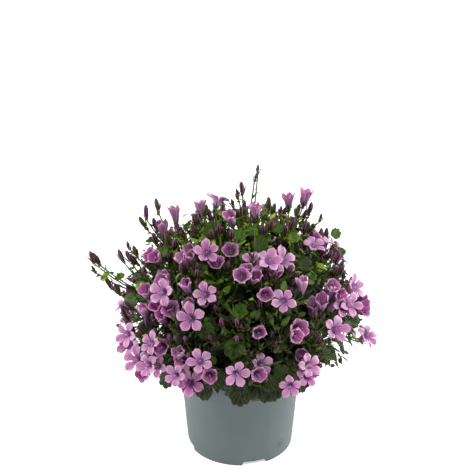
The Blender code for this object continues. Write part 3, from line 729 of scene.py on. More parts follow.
def weave(name, groups, finishes, wall=0.0):
    """One mesh of many grids. A group is (points N x rows x columns x 3, N tones, finish, closed)."""
    points, quads, places, tones, slots, start = [], [], [], [], [], 0
    for grids, shades, finish, closed in groups:
        grids = np.asarray(grids)
        count, rows, columns, _ = grids.shape
        faces, corners = grid_faces(rows, columns, closed)
        points.append(grids.reshape(-1, 3))
        quads.append((faces + start + np.arange(count)[:, None, None] * rows * columns).reshape(-1, 4))
        places.append(np.tile(corners, (count, 1)))
        tones.append(np.repeat(np.asarray(shades, float), rows * columns))
        slots.append(np.full(count * len(faces), finish))
        start += count * rows * columns
    points, quads = np.concatenate(points), np.concatenate(quads)
    mesh = bpy.data.meshes.new(name)
    mesh.vertices.add(len(points))
    mesh.vertices.foreach_set("co", points.astype(np.float32).ravel())
    mesh.loops.add(quads.size)
    mesh.loops.foreach_set("vertex_index", quads.ravel().astype(np.int32))
    mesh.polygons.add(len(quads))
    mesh.polygons.foreach_set("loop_start", np.arange(0, quads.size, 4, dtype=np.int32))
    mesh.polygons.foreach_set("material_index", np.concatenate(slots).astype(np.int32))
    mesh.update(calc_edges=True)
    places = np.concatenate(places).astype(np.float32)
    mesh.uv_layers.new(name="UVMap").uv.foreach_set("vector", places.ravel())
    tones = np.concatenate(tones).astype(np.float32)
    mesh.attributes.new("tone", "FLOAT", "POINT").data.foreach_set("value", tones)
    close_up(mesh)
    for finish in finishes:
        mesh.materials.append(finish)
    piece = bpy.data.objects.new(name, mesh)
    bpy.context.scene.collection.objects.link(piece)
    if wall:
        thick = piece.modifiers.new("wall", "SOLIDIFY")
        thick.thickness, thick.offset = wall, 0
    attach(piece, "root")
    return piece


def close_up(mesh):
    """Merges the points where a grid meets itself, at seams and poles, and shades the mesh smooth."""
    shape = bmesh.new()
    shape.from_mesh(mesh)
    bmesh.ops.remove_doubles(shape, verts=shape.verts, dist=MERGE)
    bmesh.ops.dissolve_degenerate(shape, edges=shape.edges, dist=MERGE / 10)
    shape.to_mesh(mesh)
    shape.free()
    mesh.shade_smooth()


print("a grid of 3 x 4 points has", len(grid_faces(3, 4, False)[0]), "quads,", len(grid_faces(3, 4, True)[0]),
      "where it wraps round")

# %% [markdown]
# Stalks are tubes along curves, and buds, styles and calyces are bodies turned about the way that a bloom
# faces. A Catmull-Rom spline gives both their lines, because it runs through every mark it is given. Between
# marks b and c it is a cubic in t whose slope at b is half of c - a, and at c half of d - b.

# %%
# Curves and tubes
def curve_through(marks, count):
    """A smooth curve through marks (M x K) as count points: a Catmull-Rom spline."""
    marks = np.asarray(marks, float)
    ends = np.concatenate([[2 * marks[0] - marks[1]], marks, [2 * marks[-1] - marks[-2]]])
    place = np.linspace(0, len(marks) - 1, count)
    span = np.minimum(place.astype(int), len(marks) - 2)
    t = (place - span)[:, None]
    a, b, c, d = ends[span], ends[span + 1], ends[span + 2], ends[span + 3]
    curved = (2 * a - 5 * b + 4 * c - d) * t ** 2
    return 0.5 * (2 * b + (c - a) * t + curved + (3 * b - a - 3 * c + d) * t ** 3)


def even_angles(count):
    """So many angles, evenly spaced round a full turn."""
    return 2 * math.pi * np.arange(count) / count


def spokes(axis, side, angles):
    """Unit vectors square to the axis: cos(angle) * side + sin(angle) * (axis x side)."""
    return np.cos(angles)[:, None] * side + np.sin(angles)[:, None] * np.cross(axis, side)


def bloom_spokes(bloom, angles):
    """Unit vectors round the way a bloom faces, at these angles from the side its stalk carries to it."""
    facing = bloom["facing"]
    return spokes(facing, side_at(unit(bloom["base"] - bloom["root"]), facing), angles)


def tube(path, taper, sides, scale=MM):
    """A tube with closed ends along a path (R x 3): each ring lies square to the path, and its radius, in
    units of the scale, runs evenly from the first number of the taper to the second."""
    ways = units(np.gradient(path, axis=0))
    first = units(np.cross(ways, frame_on(unit(path[-1] - path[0]))[0]))
    second = np.cross(ways, first)
    angles = even_angles(sides)
    turned = np.cos(angles)[:, None] * first[:, None] + np.sin(angles)[:, None] * second[:, None]
    radii = np.linspace(*taper, len(path)) * scale
    rings = path[:, None] + radii[:, None, None] * turned
    cap = np.zeros((1, sides, 1))
    return np.concatenate([path[None, :1] + cap, rings, path[None, -1:] + cap])


def turned_body(bloom, marks, rows, sides, ribs=0.0):
    """A body turned about the way a bloom faces: its radius runs through marks, and swells in five ribs."""
    profile = curve_through(np.array(marks) * MM, rows)
    angles = even_angles(sides)
    radius = np.maximum(profile[:, 0], 0)[:, None] * (1 + ribs * np.cos(LOBES * angles))
    out = radius[..., None] * bloom_spokes(bloom, angles)
    return bloom["base"] + out + profile[:, 1][:, None, None] * bloom["facing"]


print("a curve through 0, 1 and 0 passes", curve_through([[0], [1], [0]], 5)[:, 0])

# %% [markdown]
# ## Petals
#
# A bellflower's corolla is one funnel of tissue that splits into five oval lobes. Each fifth of it is one
# grid: it starts at the throat as a sector of a tube, meets its neighbours until the notch, and then
# narrows to a pointed oval. Its profile, radius against height in mm, says how far the bell has opened, and
# each bloom's lies somewhere between its own kind's and the next kind's. Every lobe draws its own bend,
# stretch, ripple and twist, so no two are alike.

# %%
# The corolla
PROFILES = {
    "star": ((0.9, 0.3), (2.7, 1.5), (3.7, 3.8), (4.7, 6.2), (9.0, 8.3), (13.8, 8.5)),
    "cup": ((0.9, 0.3), (3.2, 1.7), (4.2, 4.6), (5.2, 9.0), (6.4, 11.6), (8.2, 13.6)),
    "funnel": ((0.8, 0.3), (2.2, 2.0), (3.0, 5.4), (4.0, 10.0), (5.2, 14.2), (7.0, 17.6)),
}
OPENINGS = {
    "star": ("cup", 0.3, 0.84, 1.0),
    "cup": ("star", 0.3, 0.82, 1.0),
    "funnel": ("cup", 0.5, 0.92, 1.08),
}
LOBE_WIDTHS = {
    "star": (2.4, 3.3, 4.2, 4.4, 3.1, 0.1),
    "cup": (3.6, 4.4, 4.7, 4.2, 3.0, 0.15),
    "funnel": (2.5, 3.0, 3.5, 3.2, 2.2, 0.15),
}
WIDTH_STEPS = 60
NOTCH = 0.6
LOBE_RANGES = {"bend": (-3.0, 2.4), "stretch": (0.86, 1.08), "ripple": (0.3, 1.0), "phase": (0, 6.28),
               "twist": (-1.1, 1.1), "sway": (-1.1, 1.1), "fold": (-0.6, 2.0)}
CURL_IN = {"star": 0.0, "cup": 0.3, "funnel": 1.6}
LOBE_ROWS = 11
LOBE_COLUMNS = 5
HALF_FIFTH = math.radians(36)


def corolla(bloom, rng):
    """Five lobe grids. A point lies at radius(v) along the middle of its lobe and at u * width(v) across
    it. It is lifted off the profile by cup(v) * u squared, by a ripple along the edges, and by a bend and a
    twist that grow towards the tip. Each lobe also curves a little to one side."""
    kind, facing = bloom["kind"], bloom["facing"]
    v = np.linspace(0, 1, LOBE_ROWS)
    u = np.linspace(-1, 1, LOBE_COLUMNS)
    other, most, least_size, most_size = OPENINGS[kind]
    share = rng.uniform(0, most)
    scale = MM * bloom["size"] * rng.uniform(least_size, most_size)
    marks = (1 - share) * np.array(PROFILES[kind]) + share * np.array(PROFILES[other])
    radius, height = curve_through(marks * scale, LOBE_ROWS).T
    free = np.clip((v - NOTCH) / (1 - NOTCH), 0, 1)
    shape = curve_through(np.array(LOBE_WIDTHS[kind])[:, None] * scale, WIDTH_STEPS)[:, 0]
    oval = np.interp(free, np.linspace(0, 1, WIDTH_STEPS), shape)
    width = np.where(free > 0, oval, radius * math.sin(HALF_FIFTH))
    run, rise = units(np.gradient(np.stack([radius, height], axis=1), axis=0)).T
    low, high = np.array(list(LOBE_RANGES.values())).T
    draws = rng.uniform(low, high, (LOBES, len(low)))
    bend, stretch, ripple, phase, twist, sway, fold = draws.T[..., None, None]
    bend = bend * (1 - 0.5 * (kind != "star")) + CURL_IN[kind]
    gone = free[:, None]
    cup = (1 - math.cos(HALF_FIFTH)) * radius[:, None] * (1 - gone) + fold * MM * gone
    wave = bend * gone ** 2 + twist * gone * u + ripple * gone * np.abs(u) * np.sin(3 * u + phase + 4 * gone)
    lift = cup * u ** 2 + wave * MM
    at_notch = radius[free.nonzero()[0][0] - 1]
    longer = 1 + (stretch - 1) * (free > 0)[:, None]
    reach = at_notch + (radius[:, None] - at_notch) * longer - lift * rise[:, None]
    out = bloom_spokes(bloom, 2 * math.pi * ((np.arange(LOBES) + 0.5) / LOBES + bloom["spin"]))
    up = height[:, None] + lift * run[:, None]
    aside = width[:, None] * u + sway * MM * gone ** 2
    middle = bloom["base"] + reach[..., None] * out[:, None, None] + up[..., None] * facing
    return middle + aside[..., None] * np.cross(facing, out)[:, None, None]


print(len(PROFILES), "kinds of corolla, each of", LOBES, "grids")

# %% [markdown]
# ## Sepals, leaflets, buds and pedicels
#
# Under each bell sits a small green calyx with five narrow sepals, and small leaves stand along the stalks.
# They give the plant its spiky look from the side. Sepals and leaflets are blades with a flat, four-cornered
# section that thins to a point, so each is closed. A sepal's row gives its length, width, lean and bow.

# %%
# Narrow blades
SEPALS = {
    "star": (11.0, 1.1, 0.9, 0.05),
    "cup": (10.5, 1.2, 0.75, -0.12),
    "funnel": (10.0, 1.3, 0.45, -0.1),
    "bud": (10.0, 1.2, 0.36, -0.14),
    "budlet": (6.0, 1.0, 0.42, 0.0),
}
BLADE_ROWS = 5
LEAFLET_STEP = 1.9 * MM
LEAFLET_LENGTHS = (8 * MM, 5.5 * MM)
LEAFLET_SLANT = 0.8
MOST_LEAFLETS = 9
LEAFLET_RANGES = {"place": (0.02, 0.95), "turn": (0, 6.28), "length": (0.5, 1.4), "width": (0.16, 0.36),
                  "bow": (-0.5, 0.2)}
SEPAL_RANGES = {"turn": (-0.2, 0.2), "lean": (-0.1, 0.25), "length": (0.85, 1.15), "bow": (-0.1, 0.2)}
CALYX_RADIUS = 1.6 * MM
CALYX_DROP = 0.5 * MM


def blades(roots, ways, outs, lengths, widths, bows):
    """N closed blades. The middle line is root + length * (v * way + bow * v^2 * out). The half width
    rises and falls as 1.3 * sqrt(v + 0.1) * (1 - v^2), and the half thickness is a quarter of it."""
    v = np.linspace(0, 1, BLADE_ROWS)[:, None]
    bowed = v * ways[:, None] + bows[:, None, None] * v ** 2 * outs[:, None]
    middle = roots[:, None] + lengths[:, None, None] * bowed
    wide = widths[:, None, None] * 1.3 * np.sqrt(v + 0.1) * (1 - v ** 2)
    side, rise = wide * np.cross(ways, outs)[:, None], 0.25 * wide * outs[:, None]
    return np.stack([middle + side, middle + rise, middle - side, middle - rise], axis=2)


def sepals(bloom, rng):
    """Five blades round the calyx, which lean out from the way the bloom faces."""
    length, width, lean, bow = SEPALS[bloom["kind"]]
    turn, more_lean, stretch, more_bow = [rng.uniform(*ends, LOBES) for ends in SEPAL_RANGES.values()]
    outs = bloom_spokes(bloom, 2 * math.pi * (np.arange(LOBES) / LOBES + bloom["spin"]) + turn)
    ways = units(bloom["facing"] + (lean + more_lean[:, None]) * outs)
    squares = outs - (outs * ways).sum(axis=1)[:, None] * ways
    roots = bloom["base"] + CALYX_RADIUS * outs - CALYX_DROP * bloom["facing"]
    return blades(roots, ways, squares, length * MM * stretch, np.full(LOBES, width * MM), bow + more_bow)


def leaflets(path, length, rng):
    """Small leaves along a stalk, closer together towards its end: each leaves it at a slant, further
    round than the last."""
    span = path[-1] - path[0]
    count = min(1 + int(np.linalg.norm(span) / LEAFLET_STEP), MOST_LEAFLETS)
    place, turn, stretch, slim, bows = [
        rng.uniform(*ends, None if key == "turn" else count) for key, ends in LEAFLET_RANGES.items()]
    along = unit(span)
    outs = spokes(along, frame_on(along)[0], GOLDEN_TURN * np.arange(count) + turn)
    ways = (outs + LEAFLET_SLANT * along) / math.hypot(1, LEAFLET_SLANT)
    squares = (along - LEAFLET_SLANT * outs) / math.hypot(1, LEAFLET_SLANT)
    lengths = length * stretch
    return blades(path[0] + (place ** 0.7)[:, None] * span, ways, squares, lengths, slim * lengths, bows)


print("an open bell's sepals are", SEPALS["star"][0], "mm long")

# %% [markdown]
# A calyx, a bud and a style are each turned from a few marks, given as radius and height in mm above the
# foot of the corolla. A pedicel is a tube that bows, to come in along the axis of its bloom.

# %%
# Calyx, buds, styles and pedicels
CALYX = ((0.0, -3.0), (0.9, -2.6), (1.6, -1.6), (1.9, -0.5), (1.1, 0.1), (0.0, 0.2))
BUD_MARKS = {
    "bud": ((0.0, -0.3), (1.5, 1.6), (2.1, 4.6), (2.2, 8.2), (1.4, 11.4), (0.0, 13.0)),
    "budlet": ((0.0, -0.3), (1.2, 1.2), (1.5, 2.8), (1.3, 4.6), (0.8, 6.2), (0.0, 7.0)),
}
STYLES = {
    "star": ((0.0, 0.4), (0.35, 4.0), (0.35, 6.6), (0.55, 8.0), (0.55, 8.8), (0.0, 9.2)),
    "cup": ((0.0, 0.4), (0.35, 4.0), (0.35, 6.6), (0.5, 8.6), (0.5, 9.4), (0.0, 9.8)),
    "funnel": ((0.0, 0.4), (0.35, 5.0), (0.35, 10.0), (0.5, 12.6), (0.5, 13.6), (0.0, 14.0)),
}
STALK_ROWS, STALK_COLUMNS = 7, 6
STALK_TAPER = (1.2, 0.9)
PEDICEL_TAPER = (0.85, 0.7)
CALYX_GRID, STYLE_GRID, BUD_GRID = (7, 8, 0.06), (7, 5), (9, 10, 0.08)
PEDICEL_END = 2.2 * MM
PEDICEL_BOW = 0.1


def pedicel(bloom):
    """The path of a thin stalk from the spray's stalk to the calyx, bowed to come in along its axis."""
    root, end = bloom["root"], bloom["base"] - PEDICEL_END * bloom["facing"]
    bow = PEDICEL_BOW * np.linalg.norm(end - root) * (unit(end - root) - bloom["facing"])
    return curve_through([root, 0.5 * (root + end) + bow, end], STALK_ROWS)


print("a bud is", BUD_MARKS["bud"][-1][1], "mm long, a small one", BUD_MARKS["budlet"][-1][1])

# %% [markdown]
# ## Leaves
#
# The leaf is heart-shaped and scalloped. In polar form about the point where its stalk joins, the margin is
# a circle set half a radius ahead, cut in at the base, with eleven rounded teeth. Rows run from that point
# to the margin, so the veins that fan out from it are lines of equal u. A small leaf is slim and pointed.

# %%
# Leaf blades
LEAF_TEETH = 11
TOOTH_DEPTH = 0.13
HEART_CUT = 0.75
HEART_WIDTH = 0.28
MARGIN_END = 0.985 * math.pi
TIP_WIDTH = 0.35
LEAF_RIB = 0.035
LEAF_WAVES = ((0.03, 0, 0.02, -0.3), (0.1, 6.28, 0.3, 0.1))
PETIOLE_RADIUS = 0.42 * MM
PETIOLE_TAPER = (1.3, 0.9)
PETIOLE_ROWS, PETIOLE_SIDES = 4, 3
PETIOLE_SAG = 0.08


def leaf_blade(leaf, rows, columns, rng):
    """A grid in polar form: margin(a) = cos(a)/2 + sqrt(1 - sin(a)^2 / 4), times teeth and base cut. It is
    folded along its midrib, cupped by the square of its distance, waved along its margin, and ribbed."""
    normal = leaf["normal"]
    ahead, across, radius, neck = leaf_frame(leaf["root"], leaf["centre"], normal, leaf["size"])
    a = np.linspace(-MARGIN_END, MARGIN_END, columns)
    margin = 0.5 * np.cos(a) + np.sqrt(1 - 0.25 * np.sin(a) ** 2)
    margin *= 1 - TOOTH_DEPTH + TOOTH_DEPTH * np.abs(np.cos(LEAF_TEETH * a / 2)) ** 0.7
    margin *= 1 - HEART_CUT * np.exp(-((math.pi - np.abs(a)) / HEART_WIDTH) ** 2)
    share = np.linspace(0, 1, rows)[:, None] ** 0.8
    slim = leaf.get("slim", 1)
    pointed = 1 + (1 - slim) * np.exp(-(a / TIP_WIDTH) ** 2)
    x, y = share * margin * pointed * np.cos(a), share * margin * slim * np.sin(a)
    wave, phase, fold, cup = rng.uniform(*LEAF_WAVES)
    ribs = LEAF_RIB * np.abs(np.sin(3.5 * a)) * np.sin(share * math.pi)
    z = fold * np.abs(y) + cup * (x ** 2 + y ** 2) / 2 + wave * share ** 2 * np.sin(4 * a + phase) + ribs
    return neck + radius * (x[..., None] * ahead + y[..., None] * across + z[..., None] * normal), neck


def petiole(leaf, neck):
    """A leaf's stalk: a thin tube that sags a little, and goes over the rim where the leaf hangs there."""
    sagging = 0.5 * (leaf["root"] + neck) - PETIOLE_SAG * np.linalg.norm(neck - leaf["root"]) * UP
    path = curve_through([leaf["root"], leaf.get("over", sagging), neck], PETIOLE_ROWS)
    return tube(path, PETIOLE_TAPER, PETIOLE_SIDES, PETIOLE_RADIUS)


print("a leaf has", LEAF_TEETH, "teeth")

# %% [markdown]
# ## Where the many leaves grow
#
# The bush is dense, in four layers: large leaves deep inside, dark with painted shade, which only close the
# view, then middling ones, small ones among the flowers, and the smallest at the tips. A layer's shares are
# of the dome's size, and its slims are how broad a leaf is for its length. Each leaf grows from its own stem,
# at the golden angle from the last. A leaf that would hide a bloom from the eye is left out, because the
# photograph shows those blooms whole.

# %%
# Leaf layers
# The low tones of the inner layers are painted shade deep in the bush.
LAYERS = (
    {"count": 16, "shares": (0.34, 0.60), "sizes": (0.9, 1.35), "slims": (0.9, 1.0), "columns": 11,
     "tones": (0.0, 0.1)},
    {"count": 18, "shares": (0.58, 0.82), "sizes": (0.6, 1.1), "slims": (0.7, 1.0), "columns": 17,
     "tones": (0.0, 0.32)},
    {"count": 26, "shares": (0.80, 0.97), "sizes": (0.28, 0.62), "slims": (0.42, 0.8), "columns": 17,
     "tones": (0.05, 0.75)},
    {"count": 16, "shares": (0.90, 1.02), "sizes": (0.16, 0.36), "slims": (0.35, 0.6), "columns": 9,
     "tones": (0.1, 0.7)},
)
LAYER_TRIES = 8
LARGE_LEAF_GRID, SMALL_LEAF_ROWS = (4, 34), 3
CROWN_STEMS = 0.55
CROWN_LEAVES = 1.7
CROWDING_SHARE = 0.7
ROOT_START, ROOT_SPAN, ROOT_JITTER, ROOT_LIMITS = 0.45, 0.6, (-0.1, 0.1), (0.02, 0.95)
LEAF_SPREAD = (0.03, 0.5)
LEAF_TURNED = 0.8
EDGE_ROOM = 1.5 * MM
LEAF_ROOM = 2 * MM
# Leaf tones darken low in the bush as painted shade, and lift at the crown as painted light and younger
# growth.
DARK_HEIGHT = 110 * MM
YOUNG_AND_LIT_HEIGHT = 200 * MM
YOUNG_AND_LIT_TONE = 0.35
SIGHT_CLEAR = {"star": 12 * MM, "cup": 9 * MM, "funnel": 8 * MM, "bud": 5 * MM, "budlet": 3 * MM}
SIGHT_BACK = 30 * MM
HEAD_AHEAD = 6 * MM

IN_SIGHT = [b for p in PLANTS[:len(SPRAYS_IN_VIEW)] for b in p["blooms"] if b["base"][1] < SIGHT_BACK]
HEADS = np.array([b["base"] + HEAD_AHEAD * b["facing"] for b in IN_SIGHT]) - EYE
HEAD_FAR = np.linalg.norm(HEADS, axis=1)
HEAD_CLEAR = np.array([SIGHT_CLEAR[b["kind"]] for b in IN_SIGHT])


def hides_bloom(centre, reach):
    """Whether a leaf lies before a bloom: nearer than it, and closer to its line of sight than they reach."""
    near = centre - EYE
    beside = np.linalg.norm(np.cross(units(HEADS), near), axis=1)
    return ((np.linalg.norm(near) < HEAD_FAR) & (beside < HEAD_CLEAR + 0.5 * reach)).any()


def leaf_at(root, centre, size, rng, upright=0.5):
    """A leaf that looks outwards and up, turned a little at random, and never edge on to its stalk."""
    normal = unit(unit(centre - CROWN) + upright * UP + LEAF_TURNED * rng.uniform(-1, 1, 3))
    if abs(unit(centre - root) @ normal) > EDGE_ON:
        normal = unit(normal + EDGE_TURN * frame_on(normal)[1])
    return {"root": root, "centre": centre, "normal": normal, "size": size}


def brightness(height):
    """Leaves darken low down as painted shade, and brighten evenly to the crown: painted light and younger
    leaves.
    """
    return 0.5 + 0.5 * np.clip((height - DARK_HEIGHT) / (YOUNG_AND_LIT_HEIGHT - DARK_HEIGHT), 0, 1)


def layer_leaves(own, layer, crowd, rng):
    """One layer of a stem's leaves, each clear of the blooms and of the lines of sight to them."""
    plant = PLANTS[own]
    axis, low, high = plant["axis"], plant["path"][-2], plant["stalk"][1]
    found, turn = [], rng.uniform(0, 6.28)
    count = round(layer["count"] * (CROWN_LEAVES if axis[2] > CROWN_STEMS else 1))
    for _ in range(LAYER_TRIES * count):
        turn += GOLDEN_TURN
        spread, share = rng.uniform(*LEAF_SPREAD), rng.uniform(*layer["shares"])
        centre = out_to_dome(leaning(axis, turn, spread), share)
        along = np.clip((share - ROOT_START) / ROOT_SPAN + rng.uniform(*ROOT_JITTER), *ROOT_LIMITS)
        size = rng.uniform(*layer["sizes"])
        leaf = leaf_at(low + (high - low) * along, centre, size, rng)
        points = leaf_points(leaf["root"], centre, leaf["normal"], size)[:len(LEAF_TOOTH_ANGLES)]
        near_edge = room(centre, own) < EDGE_ROOM or under_skirt(centre - SKIRT_ROOM * UP)
        if near_edge or np.linalg.norm(points[:, None] - crowd, axis=2).min() < LEAF_ROOM:
            continue
        if hides_bloom(centre, LEAF_RADIUS * size):
            continue
        # Leaves high and far out get paler: partly younger growth, partly painted light.
        young_and_lit = YOUNG_AND_LIT_TONE * share * (centre[2] > YOUNG_AND_LIT_HEIGHT)
        leaf["tone"] = rng.uniform(*layer["tones"]) * brightness(centre[2]) + young_and_lit
        leaf["slim"] = rng.uniform(*layer["slims"])
        found.append(leaf)
        if layer["shares"][1] > CROWDING_SHARE:
            crowd = np.concatenate([crowd, points])
        if len(found) == count:
            break
    return found, crowd


print(len(IN_SIGHT), "blooms in sight, which no leaf may hide")

# %% [markdown]
# Leaves that can be told apart are rows of across, up, size and tone. Others spill over the pot's rim all
# round, at the golden angle, and their stalks go over the rim with them.

# %%
# Leaves in view and at the rim
MORE_LEAVES_IN_VIEW = (
    (-108, 134, 1.1, 0.5), (-77, 182, 0.9, 0.55), (-39, 164, 1.0, 0.5), (52, 197, 0.8, 0.7),
    (-1, 199, 0.8, 0.65), (95, 201, 0.7, 0.6), (100, 183, 0.6, 0.5), (70, 158, 0.7, 0.6),
    (64, 170, 1.0, 0.35), (107, 109, 0.9, 0.35), (113, 113, 0.8, 0.4), (30, 52, 1.0, 0.35),
    (40, 62, 1.0, 0.35), (6, 71, 1.0, 0.4), (-6, 87, 1.25, 0.45), (-34, 104, 1.1, 0.45),
    (-135, 158, 0.7, 0.9), (-99, 148, 0.7, 0.85), (-92, 108, 1.0, 0.35), (-96, 140, 0.9, 0.4),
    (-112, 141, 0.8, 0.5), (-70, 190, 0.8, 0.45), (-120, 157, 0.7, 0.8), (-88, 194, 0.8, 0.5),
    (20, 190, 1.0, 0.5), (10, 203, 0.7, 0.6), (38, 205, 0.7, 0.65), (66, 207, 0.7, 0.55),
    (-30, 203, 0.8, 0.5),
)
VIEW_LEAF_SHARE = 0.92
VIEW_LEAF_SLIM = 0.95
RIM_LEAVES = 52
RIM_LEAF_RADII = (61 * MM, 72 * MM)
RIM_LEAF_HEIGHTS = (83 * MM, 102 * MM)
RIM_LEAF_SIZES = (0.75, 1.3)
RIM_LEAF_TONES = (0.15, 0.5)
RIM_LEAF_UPRIGHT = 0.1
OVER_RIM = (55 * MM, 99 * MM)


def leaves_in_view(rng):
    """The leaves that can be told apart in the photograph, by the number of the stem nearest to each."""
    found = {}
    for across, up, size, tone in MORE_LEAVES_IN_VIEW:
        centre = on_dome(across, up, VIEW_LEAF_SHARE)
        own = nearest_spray(centre)
        leaf = leaf_at(PLANTS[own]["path"][-1], centre, size, rng)
        leaf["normal"] = unit(leaf["normal"] + unit(EYE - centre))
        found.setdefault(own, []).append({**leaf, "tone": tone, "slim": VIEW_LEAF_SLIM})
    return found


def rim_leaves(rng):
    """Leaves that spill over the pot's rim all round, by the number of the stem that they grow from."""
    found = {}
    for k in range(RIM_LEAVES):
        out = np.array([math.cos(k * GOLDEN_TURN), math.sin(k * GOLDEN_TURN), 0])
        centre = out * rng.uniform(*RIM_LEAF_RADII) + UP * rng.uniform(*RIM_LEAF_HEIGHTS)
        own = nearest_spray(centre)
        leaf = leaf_at(PLANTS[own]["path"][-2], centre, rng.uniform(*RIM_LEAF_SIZES), rng, RIM_LEAF_UPRIGHT)
        if hides_bloom(centre, LEAF_RADIUS):
            continue
        leaf["over"] = out * OVER_RIM[0] + UP * OVER_RIM[1]
        leaf["tone"] = rng.uniform(*RIM_LEAF_TONES)
        found.setdefault(own, []).append(leaf)
    return found


print(len(MORE_LEAVES_IN_VIEW), "leaves placed by eye,", RIM_LEAVES, "tried at the rim")

# %% [markdown]
# ## Finish of the petals
#
# Petals are living tissue: satin, a little see-through, with veins that fan out along each lobe. The colours
# are picked: open lobes are mauve pink, young cups deep magenta inside with a pale rim. The tone
# attribute, one number to a bloom, mixes the two.

# %%
# Petal finish
def uv_and_tone(tree):
    """The sockets that give the place across and along a grid, and its tone."""
    uv = add(tree, "ShaderNodeUVMap", uv_map="UVMap")
    across = add(tree, "ShaderNodeSeparateXYZ", (uv,))
    tone = add(tree, "ShaderNodeAttribute", attribute_name="tone", out=2)
    return across, across.node.outputs[1], tone


def stain(tree, skin, mask, strength, colour):
    """The skin with a colour laid over it where the mask is strong: two nodes, mask * strength and a mix."""
    share = add(tree, MATH, (mask, strength), operation="MULTIPLY")
    return add(tree, **MIX, inputs={0: share, LOW: skin, HIGH: colour})


def stripes(tree, across, waves, sharpness, shift=0.0):
    """Lines along a piece: |sin(pi * waves * across + shift)| to the power of the sharpness."""
    wave = add(tree, MATH, (across, math.pi * waves, shift), operation="MULTIPLY_ADD")
    wave = add(tree, MATH, (add(tree, MATH, (wave,), operation="SINE"),), operation="ABSOLUTE")
    return add(tree, MATH, (wave, sharpness), operation="POWER")


def per_metre(width):
    """The scale of a pattern whose marks are so many mm wide: how many of them fit into a metre."""
    return 1 / (width * MM)


def petal_finish():
    """Bellflower petal: satin skin over watery tissue, so light passes a millimetre or two through it."""
    finish, tree, shader = start_material("bellflower_petal")
    across, along, tone = uv_and_tone(tree)
    pale = add(tree, "ShaderNodeValToRGB", (along,), stops=(
        (0.0, "#8f6a9c"), (1.0, "#ca9fba"), (0.38, "#b391bf"), (0.55, "#ae86a9"), (0.8, "#bb8cac")))
    deep = add(tree, "ShaderNodeValToRGB", (along,), stops=(
        (0.0, "#330730"), (1.0, "#d8a3c4"), (0.42, "#58154f"), (0.76, "#7c2967"), (0.92, "#a3608d")))
    deep = stain(tree, deep, stripes(tree, across, 4, 3.0), 0.6, "#a9729c")
    skin = add(tree, **MIX, inputs={0: tone, LOW: pale, HIGH: deep})
    middle = add(tree, MATH, (across, 0.5), operation="SUBTRACT")
    middle = add(tree, MATH, (middle,), operation="ABSOLUTE")
    edge = add(tree, MATH, (middle, 2.0), operation="MULTIPLY")
    skin = stain(tree, skin, add(tree, MATH, (edge, 7.0), operation="POWER"), 0.55, "#e6c3da")
    veins = stripes(tree, across, 5, 12.0, math.pi / 2)
    fade = add(tree, MATH, (along, -0.7, 0.9), operation="MULTIPLY_ADD", use_clamp=True)
    skin = stain(tree, skin, veins, fade, "#481a4c")
    rib = add(tree, MATH, (middle, -26.0, 1.0), operation="MULTIPLY_ADD", use_clamp=True)
    skin = stain(tree, skin, rib, 0.42, "#7d3b7a")
    where = add(tree, "ShaderNodeTexCoord", out=3)
    cloud = add(tree, "ShaderNodeTexNoise", {"Vector": where, "Scale": per_metre(3.85), "Detail": 3.0})
    cloud = add(tree, MATH, (cloud, 1.6, -0.5), operation="MULTIPLY_ADD", use_clamp=True)
    skin = stain(tree, skin, cloud, 0.35, "#8a5a80")
    bump = add(tree, "ShaderNodeBump", {"Strength": 0.5, "Distance": 0.4 * MM, "Height": veins})
    set_shader(shader, Base_Color=skin, Normal=bump, Roughness=0.55, Specular_IOR_Level=0.2,
               Subsurface_Weight=0.35, Subsurface_Radius=(4 * MM, 1.5 * MM, 3 * MM), Subsurface_Scale=0.5,
               Sheen_Weight=0.1)
    return finish


PETAL = petal_finish()
print("petal finish made")

# %% [markdown]
# Buds are dark, with a pale seam between each two folded petals. Leaves are waxy green over a darker mottle,
# with pale veins. Stems, sepals and styles share one finish, each with its own two colours.

# %%
# Bud, stem and leaf finishes
def bud_finish():
    """Closed bud: dark purple-brown skin with five pale pink seams, where the folded petals show."""
    finish, tree, shader = start_material("bud_skin")
    across, along, tone = uv_and_tone(tree)
    seam = stripes(tree, across, 5, 14.0, math.pi / 4)
    dark = add(tree, "ShaderNodeValToRGB", (along,), stops=(
        (0.0, "#2c2c14"), (1.0, "#54284a"), (0.25, "#2c0a18"), (0.7, "#3a0d2e")))
    skin = stain(tree, dark, seam, 0.8, "#9c6590")
    skin = stain(tree, skin, add(tree, MATH, (tone, 3.0), operation="POWER"), 0.9, "#3a3c16")
    bump = add(tree, "ShaderNodeBump", {"Strength": 0.3, "Distance": 0.24 * MM, "Height": seam})
    set_shader(shader, Base_Color=skin, Normal=bump, Roughness=0.5, Specular_IOR_Level=0.15)
    return finish


def growth_finish(name, low, high, roughness, width):
    """Stem, sepal and style skin: two colours in blotches of a width in mm, shifted by the tone."""
    finish, tree, shader = start_material(name)
    tone = uv_and_tone(tree)[2]
    where = add(tree, "ShaderNodeTexCoord", out=3)
    blotch = add(tree, "ShaderNodeTexNoise", {"Vector": where, "Scale": per_metre(width), "Detail": 3.0})
    share = add(tree, MATH, (blotch, 0.6, tone), operation="MULTIPLY_ADD")
    share = add(tree, MATH, (share, 0.3), operation="SUBTRACT", use_clamp=True)
    skin = add(tree, **MIX, inputs={0: share, LOW: low, HIGH: high})
    bump = add(tree, "ShaderNodeBump", {"Strength": 0.3, "Distance": 0.2 * MM, "Height": blotch})
    set_shader(shader, Base_Color=skin, Normal=bump, Roughness=roughness, Specular_IOR_Level=0.15)
    return finish


